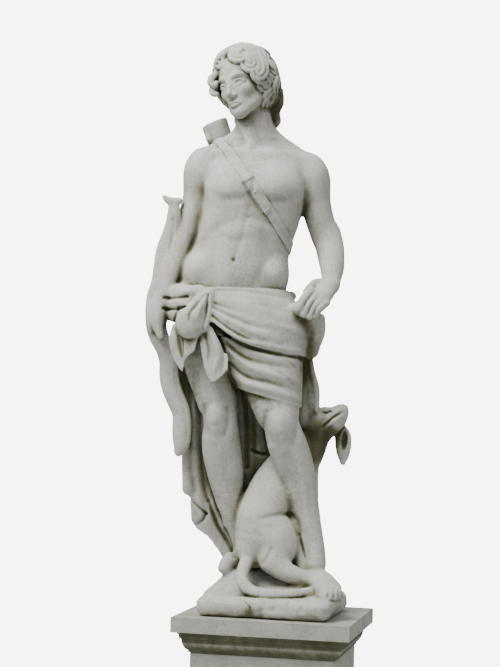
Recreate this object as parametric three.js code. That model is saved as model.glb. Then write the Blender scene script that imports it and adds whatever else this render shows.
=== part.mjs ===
// A life-size garden statue: a young huntsman with a bow, a quiver and a seated hound, cast in stone
// together with the rough slab under its feet. It stands on a moulded pedestal of three blocks.
// Millimetres, +Z up. The origin is the centre of the pedestal's underside, and the pedestal's
// front looks along -Y.
import * as THREE from 'three';
import { edgeTable, triTable } from 'three/addons/objects/MarchingCubes.js';

// Driving dimensions of the pedestal
const CAP_WIDTH = 550;
const CAP_DEPTH = 470;
const CAP_SLAB_HEIGHT = 46;
const CAP_EDGE_RADIUS = 9;
const RECESS_HEIGHT = 6;
const BAND_INSET = 21;
const BAND_HEIGHT = 15;
const GROOVE_HEIGHT = 5;
const GROOVE_DEPTH = 5;
const OVOLO_HEIGHT = 32;
const OVOLO_REACH = 18;
const NECK_FILLET = 5;
const DIE_HEIGHT = 500;
const BASE_MOULD_HEIGHT = 56;
const BASE_MOULD_REACH = 40;
const PLINTH_HEIGHT = 130;
const BED_GAP = 0.3;

// Driving dimensions of the statue
const STATUE_HEIGHT = 1800;
const STATUE_TURN = 13;
const SLAB_WIDTH = 420;
const SLAB_DEPTH = 352;
const SLAB_HEIGHT = 62;
const SLAB_OFFSET_X = -8;
const SLAB_OFFSET_Y = -6;
const SLAB_CORNER = 30;
const SLAB_EDGE = 26;

// The figure is drawn 1800 units high, cut in cells of CARVING_CELL units, and carved to STATUE_HEIGHT.
const UNIT = STATUE_HEIGHT / 1800;
const CARVING_CELL = 8.5;
const STATUE_TRIANGLES = 8600;
const DEGREE = Math.PI / 180;

// Shapes. Each has a box (low, high) and depth(x, y, z): the distance to its skin, negative inside.

const REACH = 24;

function boxOf(points, margin) {
  const low = [0, 1, 2].map((i) => Math.min(...points.map((p) => p[i])) - margin);
  const high = [0, 1, 2].map((i) => Math.max(...points.map((p) => p[i])) + margin);
  return { low, high };
}

// A smooth line through rows of numbers, with a few steps between each two of them.
function smoothRows(rows, steps) {
  const out = [];
  for (let i = 0; i + 1 < rows.length; i++) {
    const a = rows[Math.max(i - 1, 0)];
    const b = rows[i];
    const c = rows[i + 1];
    const d = rows[Math.min(i + 2, rows.length - 1)];
    for (let s = 0; s < steps; s++) {
      const t = s / steps;
      out.push(b.map((_, k) => catmullRom(a[k], b[k], c[k], d[k], t)));
    }
  }
  out.push(rows[rows.length - 1]);
  return out;
}

function catmullRom(a, b, c, d, t) {
  const bend = 2 * a - 5 * b + 4 * c - d + (3 * b - a - 3 * c + d) * t;
  return b + 0.5 * t * (c - a + t * bend);
}

// A round limb through stations [x, y, z, radius].
function limb(stations) {
  return flatLimb(stations, [0, 0, 1], 1);
}

// A limb whose section is pressed flat along one direction, to a share of its width.
function flatLimb(stations, direction, share) {
  const line = stations.length > 2 ? smoothRows(stations, 4) : stations;
  const widest = Math.max(...stations.map((s) => s[3]));
  const size = Math.hypot(...direction);
  const [nx, ny, nz] = direction.map((v) => v / size);
  const stretch = 1 / share - 1;
  const depth = (x, y, z) => {
    let least = Infinity;
    for (let i = 0; i + 1 < line.length; i++) {
      const [ax, ay, az, ar] = line[i];
      const bx = line[i + 1][0] - ax;
      const by = line[i + 1][1] - ay;
      const bz = line[i + 1][2] - az;
      const px = x - ax;
      const py = y - ay;
      const pz = z - az;
      const along = (px * bx + py * by + pz * bz) / (bx * bx + by * by + bz * bz);
      const t = Math.min(1, Math.max(0, along));
      let dx = px - t * bx;
      let dy = py - t * by;
      let dz = pz - t * bz;
      const lift = (dx * nx + dy * ny + dz * nz) * stretch;
      dx += lift * nx;
      dy += lift * ny;
      dz += lift * nz;
      const d = Math.sqrt(dx * dx + dy * dy + dz * dz) - ar - t * (line[i + 1][3] - ar);
      if (d < least) least = d;
    }
    return least;
  };
  return { ...boxOf(line, widest), depth };
}

// An ellipsoid with its three radii, turned in degrees about x, then y, then z.
function ball(centre, radii, turn = [0, 0, 0]) {
  const [a, b, c] = radii;
  const least = Math.min(a, b, c);
  const egg = (x, y, z) => {
    const outer = Math.hypot(x / a, y / b, z / c);
    const inner = Math.hypot(x / (a * a), y / (b * b), z / (c * c));
    return inner < 1e-9 ? -least : (outer * (outer - 1)) / inner;
  };
  return placed({ low: [-a, -b, -c], high: [a, b, c], depth: egg }, centre, turn);
}

// A shape moved to a place and turned about it.
function placed(shape, centre, turn) {
  const [rx, ry, rz] = turn.map((v) => v * DEGREE);
  const matrix = new THREE.Matrix4().makeRotationFromEuler(new THREE.Euler(rx, ry, rz, 'ZYX'));
  const m = matrix.elements;
  const corners = [];
  for (const x of [shape.low[0], shape.high[0]])
    for (const y of [shape.low[1], shape.high[1]])
      for (const z of [shape.low[2], shape.high[2]])
        corners.push(
          new THREE.Vector3(x, y, z).applyMatrix4(matrix).add(new THREE.Vector3(...centre)).toArray(),
        );
  const depth = (x, y, z) => {
    const dx = x - centre[0];
    const dy = y - centre[1];
    const dz = z - centre[2];
    return shape.depth(
      m[0] * dx + m[1] * dy + m[2] * dz,
      m[4] * dx + m[5] * dy + m[6] * dz,
      m[8] * dx + m[9] * dy + m[10] * dz,
    );
  };
  return { ...boxOf(corners, 0), depth };
}

// An upright body through levels [z, x, y, half width, half depth], lowest first.
function column(levels, squareness) {
  const rows = smoothRows(levels, 6);
  const low = rows[0][0];
  const high = rows[rows.length - 1][0];
  const widest = Math.max(...levels.map((l) => Math.max(l[3], l[4])));
  const depth = (x, y, z) => {
    let i = 0;
    while (i + 2 < rows.length && rows[i + 1][0] < z) i++;
    const [za, xa, ya, wa, da] = rows[i];
    const [zb, xb, yb, wb, db] = rows[i + 1];
    const t = Math.min(1, Math.max(0, (z - za) / (zb - za)));
    const dx = x - xa - t * (xb - xa);
    const dy = y - ya - t * (yb - ya);
    const across = Math.abs(dx) / (wa + t * (wb - wa));
    const through = Math.abs(dy) / (da + t * (db - da));
    const q = Math.pow(Math.pow(across, squareness) + Math.pow(through, squareness), 1 / squareness);
    const r = Math.hypot(dx, dy);
    const side = r < 1e-6 ? -widest / 2 : r - r / Math.max(q, 1e-6);
    return Math.max(side, low - z, z - high);
  };
  return { ...boxOf(levels.map((l) => [l[1], l[2], l[0]]), widest), depth };
}

// A block with rounded corners and edges, lying at a place, turned about z.
function block(centre, half, corner, edge, turn) {
  const [a, b, c] = half;
  const depth = (x, y, z) => {
    const qx = Math.abs(x) - a + corner;
    const qy = Math.abs(y) - b + corner;
    const plan = Math.hypot(Math.max(qx, 0), Math.max(qy, 0)) + Math.min(Math.max(qx, qy), 0) - corner + edge;
    const rise = Math.abs(z) - c + edge;
    return Math.hypot(Math.max(plan, 0), Math.max(rise, 0)) + Math.min(Math.max(plan, rise), 0) - edge;
  };
  return placed({ low: [-a, -b, -c], high: [a, b, c], depth }, centre, [0, 0, turn]);
}

// The part of a shape on the inner side of planes [nx, ny, nz, offset].
function clipped(shape, planes) {
  const sides = planes.map(([x, y, z, offset]) => {
    const size = Math.hypot(x, y, z);
    return [x / size, y / size, z / size, offset / size];
  });
  const depth = (x, y, z) => {
    let d = shape.depth(x, y, z);
    for (const [nx, ny, nz, offset] of sides) d = Math.max(d, nx * x + ny * y + nz * z - offset);
    return d;
  };
  return { low: shape.low, high: shape.high, depth };
}

// The block of stone: a grid of depths that shapes are added to and cut from.
class Stone {
  constructor(low, high, cell) {
    this.low = low;
    this.cell = cell;
    this.count = low.map((v, i) => Math.ceil((high[i] - v) / cell) + 1);
    this.depths = new Float32Array(this.count[0] * this.count[1] * this.count[2]).fill(REACH);
  }

  eachNear(shape, margin, work) {
    const [nx, ny, nz] = this.count;
    const from = shape.low.map((v, i) => Math.max(0, Math.floor((v - margin - this.low[i]) / this.cell)));
    const to = shape.high.map((v, i) =>
      Math.min(this.count[i] - 1, Math.ceil((v + margin - this.low[i]) / this.cell)),
    );
    for (let k = from[2]; k <= to[2]; k++)
      for (let j = from[1]; j <= to[1]; j++)
        for (let i = from[0]; i <= to[0]; i++) {
          const n = (k * ny + j) * nx + i;
          const x = this.low[0] + i * this.cell;
          const y = this.low[1] + j * this.cell;
          const z = this.low[2] + k * this.cell;
          this.depths[n] = work(this.depths[n], shape.depth(x, y, z));
        }
  }

  // Adds a shape, melting it into the stone over the blend length.
  add(shape, blend = 1) {
    this.eachNear(shape, REACH, (old, d) => {
      const h = Math.max(blend - Math.abs(old - d), 0);
      return Math.min(old, d) - (h * h) / (4 * blend);
    });
  }

  // Cuts a shape away, easing the edge over the blend length.
  cut(shape, blend = 1) {
    this.eachNear(shape, blend, (old, d) => {
      const h = Math.max(blend - Math.abs(old + d), 0);
      return Math.max(old, -d) + (h * h) / (4 * blend);
    });
  }

  // Raises a band of the skin: within halfWidth of the plane [nx, ny, nz, offset], and
  // between two marks measured down along it.
  raise([nx, ny, nz, offset], halfWidth, [from, to], height) {
    const depth = (x, y, z) => {
      const along = nz * x - nx * z;
      return Math.max(Math.abs(nx * x + ny * y + nz * z - offset) - halfWidth, from - along, along - to);
    };
    const high = this.low.map((v, i) => v + this.cell * this.count[i]);
    this.eachNear({ low: this.low, high, depth }, 0, (old, d) => Math.min(old, Math.max(old - height, d)));
  }

  // The skin of the stone as { positions, triangles }, by marching cubes.
  skin() {
    const [nx, ny, nz] = this.count;
    const corners = [
      [0, 0, 0], [1, 0, 0], [1, 1, 0], [0, 1, 0],
      [0, 0, 1], [1, 0, 1], [1, 1, 1], [0, 1, 1],
    ];
    const edges = [
      [0, 1], [1, 2], [2, 3], [3, 0], [4, 5], [5, 6], [6, 7], [7, 4], [0, 4], [1, 5], [2, 6], [3, 7],
    ];
    const positions = [];
    const triangles = [];
    const made = new Map();
    const index = (i, j, k) => (k * ny + j) * nx + i;
    const vertex = (a, b) => {
      const key = Math.min(a, b) * this.depths.length + Math.max(a, b);
      if (made.has(key)) return made.get(key);
      const t = Math.min(0.98, Math.max(0.02, this.depths[a] / (this.depths[a] - this.depths[b])));
      const at = (n) => [n % nx, Math.floor(n / nx) % ny, Math.floor(n / (nx * ny))];
      const pa = at(a);
      const pb = at(b);
      positions.push(...pa.map((v, i) => this.low[i] + this.cell * (v + t * (pb[i] - v))));
      made.set(key, positions.length / 3 - 1);
      return positions.length / 3 - 1;
    };
    const steps = corners.map(([x, y, z]) => index(x, y, z));
    for (let k = 0; k + 1 < nz; k++)
      for (let j = 0; j + 1 < ny; j++)
        for (let i = 0; i + 1 < nx; i++) {
          const first = index(i, j, k);
          let kind = 0;
          for (let c = 0; c < 8; c++) if (this.depths[first + steps[c]] < 0) kind |= 1 << c;
          if (edgeTable[kind] === 0) continue;
          for (let t = kind * 16; triTable[t] !== -1; t += 3)
            for (const e of [triTable[t], triTable[t + 2], triTable[t + 1]])
              triangles.push(vertex(first + steps[edges[e][0]], first + steps[edges[e][1]]));
        }
    return { positions, triangles };
  }
}

// The huntsman, in the drawing's units: x to the figure's left as it is seen from the front,
// y away from the front, z up from the underside of the slab.

const HEAD_CENTRE = [-134, -16, 1668];
const HEAD_TURN = [7, -12, -37];
const SKULL = [76, 94, 92];

function carveBody(stone) {
  // Trunk, from the hips to the collar
  stone.add(column([
    [860, -140, 15, 158, 112], [930, -150, 14, 166, 114], [1010, -160, 12, 168, 110],
    [1090, -146, 8, 160, 98], [1150, -132, 6, 154, 96], [1220, -113, 6, 158, 106],
    [1300, -101, 6, 163, 114], [1370, -98, 8, 164, 110], [1420, -97, 14, 154, 90],
    [1458, -97, 22, 108, 66], [1488, -98, 26, 64, 52],
  ], 2.4), 10);
  // Chest, belly and the ridges over the hips
  stone.add(ball([-166, -76, 1328], [80, 38, 56], [0, 0, -14]), 28);
  stone.add(ball([-30, -74, 1328], [80, 38, 56], [0, 0, 14]), 28);
  stone.add(ball([-138, -66, 1176], [62, 40, 60]), 30);
  stone.add(ball([-150, -62, 1092], [88, 46, 84]), 30);
  stone.add(ball([-266, -20, 1072], [50, 70, 54], [0, 12, 0]), 30);
  stone.add(ball([-32, -20, 1062], [46, 70, 52], [0, -12, 0]), 30);
  // The groove down the chest, the lower edge of the ribs and the navel
  stone.cut(limb([[-98, -122, 1400, 5], [-100, -128, 1330, 6], [-112, -122, 1262, 5]]), 18);
  stone.cut(limb([[-216, -102, 1246, 4], [-170, -122, 1240, 5], [-112, -120, 1262, 4]]), 18);
  stone.cut(limb([[14, -100, 1246, 4], [-40, -120, 1240, 5], [-112, -120, 1262, 4]]), 18);
  stone.cut(ball([-156, -118, 1098], [8, 16, 10]), 8);
  // Back, shoulder blades and seat
  stone.add(ball([-186, 88, 1350], [68, 34, 84], [0, 10, 0]), 30);
  stone.add(ball([-12, 88, 1350], [68, 34, 84], [0, -10, 0]), 30);
  stone.add(ball([-220, 88, 930], [86, 48, 90]), 30);
  stone.add(ball([-70, 88, 930], [86, 48, 90]), 30);
  // Neck, slopes of the shoulders and collar bones
  stone.add(limb([[-97, 24, 1440, 74], [-98, 16, 1510, 61], [-108, 8, 1580, 57]]), 24);
  stone.add(limb([[-112, 30, 1516, 38], [-180, 26, 1472, 36], [-258, 20, 1416, 42]]), 30);
  stone.add(limb([[-86, 30, 1516, 38], [-12, 26, 1468, 37], [72, 20, 1404, 42]]), 30);
  stone.add(limb([[-112, -56, 1436, 11], [-180, -46, 1446, 11], [-250, -10, 1440, 14]]), 26);
  stone.add(limb([[-82, -56, 1436, 11], [-16, -46, 1440, 11], [62, -10, 1426, 14]]), 26);
  stone.add(limb([[-104, -56, 1450, 12], [-128, -36, 1520, 12], [-150, -6, 1580, 14]]), 26);
  stone.cut(ball([-97, -82, 1456], [14, 16, 16]), 16);
  carveStrap(stone);
}

// The quiver's strap lies in one slanting plane round the trunk.
const STRAP_PLANE = [0.82, 0, 0.572, 677];
const STRAP_HALF_WIDTH = 15;

function carveStrap(stone) {
  stone.raise(STRAP_PLANE, STRAP_HALF_WIDTH, [-3000, 3000], 4.5);
  stone.raise(STRAP_PLANE, STRAP_HALF_WIDTH + 7, [-1188, -1160], 7);
  stone.raise(STRAP_PLANE, STRAP_HALF_WIDTH - 2, [-1150, -1052], 6.5);
}

function carveArms(stone) {
  // The right arm, hanging to the bow
  stone.add(ball([-268, 14, 1386], [52, 58, 74], [0, 8, 0]), 26);
  stone.add(limb([[-270, 18, 1380, 50], [-281, 22, 1290, 46], [-310, 26, 1200, 44]]), 20);
  stone.add(limb([
    [-312, 24, 1204, 43], [-336, 8, 1146, 46], [-354, -6, 1086, 43], [-368, -18, 1030, 36],
    [-372, -26, 972, 27],
  ]), 14);
  stone.add(ball([-392, -26, 930], [31, 38, 60], [0, 8, 0]), 14);
  for (const [z, reach] of [[950, 22], [925, 26], [900, 26], [876, 20]]) {
    stone.add(limb([
      [-414, -26, z + 6, 12.5], [-412, -54, z - 2, 12.5], [-390, -62, z - 12, 12],
      [-390 + reach, -56, z - 18, 10],
    ]), 4);
  }
  stone.add(limb([[-384, -50, 968, 14], [-382, -66, 930, 13], [-374, -66, 888, 10]]), 5);
  // The left arm, bent back to the hip
  stone.add(ball([86, 14, 1374], [53, 58, 76], [0, -10, 0]), 26);
  stone.add(limb([[90, 18, 1370, 49], [106, 24, 1270, 46], [132, 34, 1196, 45]]), 20);
  stone.add(limb([
    [138, 36, 1200, 44], [148, 14, 1150, 45], [154, -18, 1094, 39], [152, -44, 1056, 31],
    [146, -62, 1030, 28],
  ]), 14);
  stone.add(flatLimb([[146, -64, 1030, 31], [120, -86, 1000, 37], [98, -98, 978, 33]], [-0.2, -0.9, 0.4], 0.62), 14);
  for (const [x, z, drop] of [[74, 1004, 50], [90, 990, 54], [106, 976, 48], [122, 968, 36]]) {
    stone.add(limb([
      [x + 12, -104, z + 4, 13], [x - 10, -118, z - drop * 0.45, 12.5], [x - 20, -116, z - drop, 10],
    ]), 4);
  }
  stone.add(limb([[130, -62, 1036, 15], [98, -76, 1032, 14], [72, -96, 1006, 11]]), 6);
}

function carveLegs(stone) {
  // The left leg, forward and bearing the weight
  stone.add(limb([
    [-48, 8, 880, 104], [-38, -18, 780, 94], [-22, -44, 690, 82], [-6, -60, 620, 66],
    [8, -62, 570, 60], [32, -44, 510, 61], [56, -22, 440, 59], [78, -14, 360, 48],
    [100, -16, 280, 38], [116, -22, 210, 34], [120, -26, 160, 36],
  ]), 14);
  stone.add(ball([2, -104, 592], [33, 22, 42], [8, 10, 0]), 22);
  stone.add(ball([62, 22, 450], [40, 34, 92], [0, -10, 0]), 22);
  stone.add(flatLimb([[116, 6, 106, 40], [134, -58, 112, 41], [156, -112, 94, 42], [170, -152, 82, 34]], [0, 0, 1], 0.74), 16);
  for (const [x, y, r] of [[146, -172, 13], [164, -178, 12], [180, -174, 11], [193, -164, 10], [204, -150, 9]])
    stone.add(limb([[x - 10, y + 44, 84, r], [x, y, 74, r - 1]]), 7);
  // The right leg, drawn back, its foot turned out
  stone.add(limb([
    [-214, 18, 880, 98], [-220, 8, 790, 90], [-214, -6, 700, 76], [-200, -18, 630, 62],
    [-192, -16, 580, 58], [-186, 6, 510, 60], [-172, 26, 440, 56], [-154, 40, 360, 45],
    [-132, 50, 280, 35], [-108, 56, 210, 31], [-100, 58, 160, 33],
  ]), 14);
  stone.add(ball([-196, -62, 606], [30, 20, 38], [4, 6, 0]), 20);
  stone.add(ball([-170, 66, 460], [38, 32, 90], [0, 8, 0]), 22);
  stone.add(flatLimb([[-96, 60, 140, 32], [-128, 50, 134, 29], [-152, 42, 118, 25], [-166, 38, 108, 19]], [0.5, 0, 1], 0.78), 12);
}

// A shape drawn in the head's own frame: face to -y, crown to +z.
function onHead(shape) {
  return placed(shape, HEAD_CENTRE, HEAD_TURN);
}

function carveHead(stone) {
  stone.add(onHead(ball([0, 12, 12], SKULL)), 8);
  // Cheeks, jaw and chin
  stone.add(onHead(ball([0, -22, -28], [64, 66, 78])), 22);
  stone.add(onHead(ball([0, -56, -84], [30, 29, 29])), 24);
  for (const side of [-1, 1]) {
    stone.add(onHead(limb([[side * 58, 6, -50, 20], [side * 34, -44, -86, 17], [0, -66, -96, 15]])), 20);
    stone.add(onHead(ball([side * 40, -58, -34], [22, 22, 20])), 20);
    // Brow, socket, eyeball and lids, each side
    stone.add(onHead(limb([[side * 50, -58, 8, 8], [side * 28, -80, 15, 8], [side * 8, -86, 8, 7]])), 14);
    stone.cut(onHead(ball([side * 30, -90, -8], [17, 13, 9])), 12);
    stone.add(onHead(ball([side * 30, -70, -8], [15, 13, 11])), 4);
    // Ear
    stone.add(onHead(flatLimb([[side * 76, 22, 6, 14], [side * 76, 20, -14, 13], [side * 70, 14, -32, 9]], [1, 0.3, 0], 0.6)), 5);
  }
  // Nose and lips
  stone.add(onHead(limb([[0, -86, 4, 8], [0, -97, -24, 9], [0, -103, -40, 11]])), 10);
  stone.add(onHead(ball([0, -90, -44], [17, 10, 7])), 7);
  stone.add(onHead(limb([[-21, -80, -66, 4], [0, -92, -64, 7], [21, -80, -66, 4]])), 6);
  stone.add(onHead(limb([[-16, -80, -75, 4], [0, -89, -77, 8], [16, -80, -75, 4]])), 6);
}

// One lock of hair: it runs down the skull from near the crown and hooks over at its end.
function lockLine(turn, rise, length, hook, hand, thickness) {
  const rows = [];
  const steps = 9;
  for (let i = 0; i <= steps; i++) {
    const t = i / steps;
    const curl = Math.max(0, t - 0.45) / 0.55;
    const angle = hand * curl * 4.6;
    const down = length * Math.min(t / 0.45, 1) * 0.55 + hook * Math.sin(Math.abs(angle));
    const side = hand * hook * (1 - Math.cos(angle)) + hand * 5 * Math.sin(t * 6);
    const up = (rise - down / 1.6) * DEGREE;
    const round = turn * DEGREE + side / (96 * Math.max(Math.cos(up), 0.35));
    const lift = 13 + 9 * Math.sin(Math.PI * Math.min(t * 1.2, 1));
    rows.push([
      (SKULL[0] + lift) * Math.cos(up) * Math.sin(round),
      12 - (SKULL[1] + lift) * Math.cos(up) * Math.cos(round),
      12 + (SKULL[2] + lift) * Math.sin(up),
      thickness * (1 - 0.45 * t),
    ]);
  }
  return rows;
}

// Rows of locks: [rise above the ear line, first turn from the face, last turn, how many]
const HAIR_ROWS = [
  [84, 0, 300, 5], [68, 8, 340, 9], [48, 14, 346, 12], [28, 54, 306, 10], [4, 84, 276, 8],
  [-18, 100, 256, 7], [-40, 116, 240, 5],
];
const LOCK_RADIUS = 15.5;
const LOCK_HOOK = 16;

function carveHair(stone) {
  stone.add(onHead(clipped(ball([0, 20, 18], [88, 102, 98]), [[0, -1, -0.9, 28]])), 6);
  stone.add(onHead(limb([[0, 76, -10, 50], [-4, 76, -60, 42], [-10, 70, -108, 26]])), 16);
  // The locks that fall to the nape
  stone.add(limb([[-40, 50, 1650, 30], [-43, 46, 1604, 28], [-44, 40, 1566, 24], [-48, 34, 1544, 15]]), 12);
  stone.add(limb([[-74, 84, 1640, 26], [-78, 88, 1596, 24], [-70, 80, 1552, 16]]), 6);
  stone.add(limb([[-112, 92, 1650, 26], [-106, 92, 1600, 24], [-112, 82, 1548, 16]]), 6);
  // Small curls at the right temple
  stone.add(limb([[-234, -34, 1664, 15], [-247, -42, 1638, 14], [-240, -50, 1622, 10]]), 5);
  stone.add(limb([[-228, -22, 1624, 13], [-236, -32, 1600, 12], [-226, -38, 1590, 9]]), 5);
  HAIR_ROWS.forEach(([rise, first, last, count], row) => {
    for (let i = 0; i < count; i++) {
      const turn = first + ((last - first) * i) / (count - 1);
      const hand = (i + row) % 2 ? 1 : -1;
      const length = 34 + 6 * Math.sin(i * 2.3 + row);
      stone.add(onHead(limb(lockLine(turn, rise, length, LOCK_HOOK, hand, LOCK_RADIUS))), 3);
    }
  });
}

function carveDrapery(stone) {
  // The cloth wound round the hips
  stone.add(clipped(column([
    [760, -128, 8, 190, 128], [840, -134, 6, 210, 134], [910, -140, 4, 220, 134],
    [966, -152, 6, 200, 126], [1012, -160, 8, 179, 121],
  ], 2.2), [[-0.5, 0, -1, -700]]), 8);
  // The skirt over the left thigh
  stone.add(clipped(column([
    [600, -8, -30, 76, 98], [680, -30, -24, 98, 106], [760, -50, -14, 118, 120],
    [860, -80, 0, 148, 130],
  ], 2.2), [[-0.38, 0, -1, -664], [-1, 0, 0.28, 402]]), 8);
  stone.add(flatLimb([
    [-180, -112, 730, 9], [-90, -126, 698, 11], [0, -118, 668, 11], [56, -84, 640, 11], [66, -30, 630, 11],
  ], [0, -1, 0], 1), 10);
  // Rolls of the swag, from the knot to the left hip
  const swag = [
    [[-226, -118, 985, 12], [-130, -142, 962, 14], [-20, -146, 944, 15], [60, -114, 930, 15], [100, -40, 930, 16]],
    [[-228, -122, 965, 14], [-150, -148, 924, 17], [-40, -154, 892, 19], [50, -120, 876, 19], [100, -48, 880, 19]],
    [[-224, -122, 940, 13], [-160, -148, 884, 17], [-70, -156, 848, 20], [20, -136, 830, 21], [84, -66, 832, 20]],
  ];
  for (const roll of swag) stone.add(limb(roll), 10);
  stone.cut(limb([[-206, -138, 950, 3], [-140, -162, 902, 5], [-40, -170, 868, 5], [40, -142, 852, 3]]), 10);
  stone.cut(limb([[-200, -134, 982, 2], [-120, -156, 944, 5], [-20, -160, 918, 4], [50, -130, 904, 2]]), 12);
  // Folds of the skirt, running down to the right
  for (const fold of [
    [[-206, -116, 880, 10], [-140, -138, 798, 12], [-40, -138, 750, 12], [56, -96, 742, 10]],
    [[-196, -118, 840, 10], [-150, -134, 768, 11], [-70, -136, 712, 11], [30, -112, 688, 11]],
    [[-200, -112, 900, 10], [-120, -140, 826, 10], [-30, -140, 790, 10], [56, -100, 786, 9]],
  ]) stone.add(limb(fold), 12);
  // The knot, its loop and the loose ends
  stone.add(limb([[-204, -112, 1004, 18], [-240, -128, 990, 20], [-266, -134, 956, 24]]), 8);
  stone.add(ball([-281, -122, 904], [51, 36, 58], [0, 14, 0]), 8);
  stone.add(limb([[-222, -122, 990, 14], [-226, -136, 940, 16], [-238, -142, 890, 18]]), 8);
  stone.add(limb([[-314, -92, 880, 20], [-326, -92, 820, 20], [-310, -92, 758, 8]]), 5);
  stone.add(limb([[-290, -106, 860, 16], [-292, -110, 820, 15], [-296, -108, 798, 9]]), 5);
  stone.add(flatLimb([
    [-232, -120, 900, 16], [-210, -128, 850, 34], [-205, -126, 792, 40], [-196, -120, 752, 26],
    [-210, -116, 736, 8],
  ], [0.2, -1, 0], 0.4), 6);
  // Three folds stacked over the right hip
  for (const [z, reach] of [[992, 0], [956, 10], [922, 6]])
    stone.add(limb([[-346 - reach, 10, z, 17], [-326, -70, z - 4, 18], [-262, -112, z + 4, 16]]), 6);
  // The rolled edge round the back of the waist, and the folds that sag below it
  for (const [z, sag, r] of [[1000, 0, 15], [962, 26, 15], [920, 48, 16], [872, 64, 16]])
    stone.add(limb([
      [-334, 34, z, r], [-262, 112, z - sag * 0.7, r], [-156, 140, z - sag, r],
      [-46, 116, z - sag * 0.8, r], [30, 52, z - sag * 0.2, r],
    ]), 8);
  // The cloth gathered under the left hand
  stone.add(limb([[104, -30, 944, 20], [112, 10, 890, 24], [100, 30, 824, 20]]), 10);
  // The end that hangs behind the left thigh
  stone.add(limb([
    [64, 14, 850, 22], [76, 36, 780, 18], [96, 44, 716, 19], [104, 46, 660, 20], [104, 46, 626, 14],
  ]), 6);
}

// The cloak that falls behind the legs to the slab, one limb to each fold.
function carveCloak(stone) {
  const folds = [
    [[-310, 44, 940, 24], [-302, 50, 700, 20], [-288, 58, 520, 19], [-286, 64, 420, 18], [-286, 66, 362, 14]],
    [[-280, 60, 940, 30], [-272, 66, 700, 26], [-262, 70, 480, 24], [-260, 74, 340, 20], [-262, 72, 268, 14]],
    [[-240, 84, 900, 34], [-236, 86, 640, 30], [-230, 86, 420, 28], [-230, 82, 300, 22], [-234, 74, 246, 14]],
    [[-214, 90, 900, 34], [-212, 92, 600, 28], [-206, 90, 380, 28], [-202, 86, 280, 22], [-206, 76, 224, 14]],
    [[-176, 100, 900, 34], [-176, 104, 600, 30], [-172, 102, 380, 30], [-172, 90, 240, 22], [-176, 80, 186, 16]],
    [[-134, 108, 880, 34], [-134, 110, 560, 32], [-130, 108, 340, 32], [-134, 98, 180, 26], [-136, 92, 100, 26]],
    [[-86, 104, 860, 34], [-84, 98, 560, 26], [-80, 96, 360, 30], [-80, 100, 90, 32]],
    [[-36, 92, 820, 34], [-34, 92, 560, 30], [-32, 96, 340, 34], [-30, 100, 90, 36]],
  ];
  for (const fold of folds) stone.add(limb(fold), 8);
}

function carveHound(stone) {
  // Body, from the rump up to the shoulders
  stone.add(limb([
    [-64, 0, 205, 66], [-46, 6, 290, 82], [-10, 26, 380, 80], [34, 48, 450, 72], [76, 60, 500, 60],
  ]), 16);
  stone.add(limb([[76, 58, 480, 56], [106, 60, 520, 46], [122, 58, 570, 44]]), 18);
  // Haunch, hock and hind paw
  stone.add(ball([4, -36, 226], [62, 50, 84], [0, -6, 0]), 22);
  stone.add(limb([[-20, -62, 160, 38], [24, -78, 138, 28], [90, -72, 124, 21]]), 14);
  stone.cut(limb([[-22, -104, 206, 3], [-34, -100, 170, 5], [-34, -96, 140, 3]]), 10);
  // Forelegs, behind the huntsman's shin
  stone.add(limb([[88, 70, 440, 42], [100, 66, 330, 30], [104, 50, 200, 22], [108, 30, 100, 24]]), 12);
  stone.add(limb([[50, 96, 420, 42], [58, 92, 300, 30], [62, 84, 190, 22], [66, 62, 100, 24]]), 12);
  // Head, raised and looking up, the mouth shut
  stone.add(ball([140, 58, 594], [50, 48, 54], [0, 30, 0]), 14);
  stone.add(limb([[152, 50, 596, 42], [176, 44, 612, 38], [192, 38, 630, 28]]), 12);
  stone.add(ball([200, 36, 644], [18, 18, 16]), 6);
  stone.cut(limb([[206, 14, 626, 2], [190, 2, 628, 3], [164, 0, 612, 3], [140, 6, 590, 2]]), 4);
  stone.add(ball([146, 14, 640], [10, 7, 7]), 3);
  stone.add(flatLimb([[190, 66, 584, 20], [210, 62, 548, 24], [208, 60, 506, 22], [207, 60, 472, 9]], [0.4, 0.8, 0.2], 0.5), 5);
  stone.cut(ball([212, 46, 540], [10, 12, 30]), 6);
  stone.add(flatLimb([[124, 100, 606, 18], [134, 116, 570, 25], [132, 112, 530, 20], [130, 106, 496, 8]], [-0.4, 1, 0], 0.4), 5);
  // Tail, laid round on the slab
  stone.add(limb([
    [-78, -20, 170, 20], [-100, -60, 146, 17], [-106, -96, 102, 16], [-74, -124, 78, 16],
    [-16, -136, 74, 15], [50, -130, 80, 13], [102, -112, 88, 11],
  ]), 8);
}

function carveBow(stone) {
  stone.add(flatLimb([
    [-384, -20, 1300, 9], [-362, -20, 1284, 16], [-350, -16, 1240, 22], [-353, -12, 1196, 24],
    [-372, -8, 1130, 24], [-390, -10, 1050, 24], [-398, -16, 960, 22], [-396, -16, 870, 22],
    [-374, -8, 812, 24], [-361, -4, 764, 24], [-352, 0, 716, 27], [-334, 0, 660, 30],
    [-311, 0, 606, 30], [-306, 0, 556, 30], [-309, 0, 520, 24], [-318, 0, 500, 14],
  ], [0, 1, 0], 0.8), 8);
}

function carveQuiver(stone) {
  const tube = limb([[-246, 116, 1600, 44], [-152, 138, 1340, 38], [-84, 138, 1130, 30]]);
  stone.add(clipped(tube, [[-0.4, 0, 0.92, 1532]]), 6);
  for (const [x, y] of [[-246, 100], [-208, 112], [-242, 134]])
    stone.add(limb([[x, y, 1510, 14], [x - 4, y, 1546 + (x + 246) / 2, 12]]), 4);
}

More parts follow.
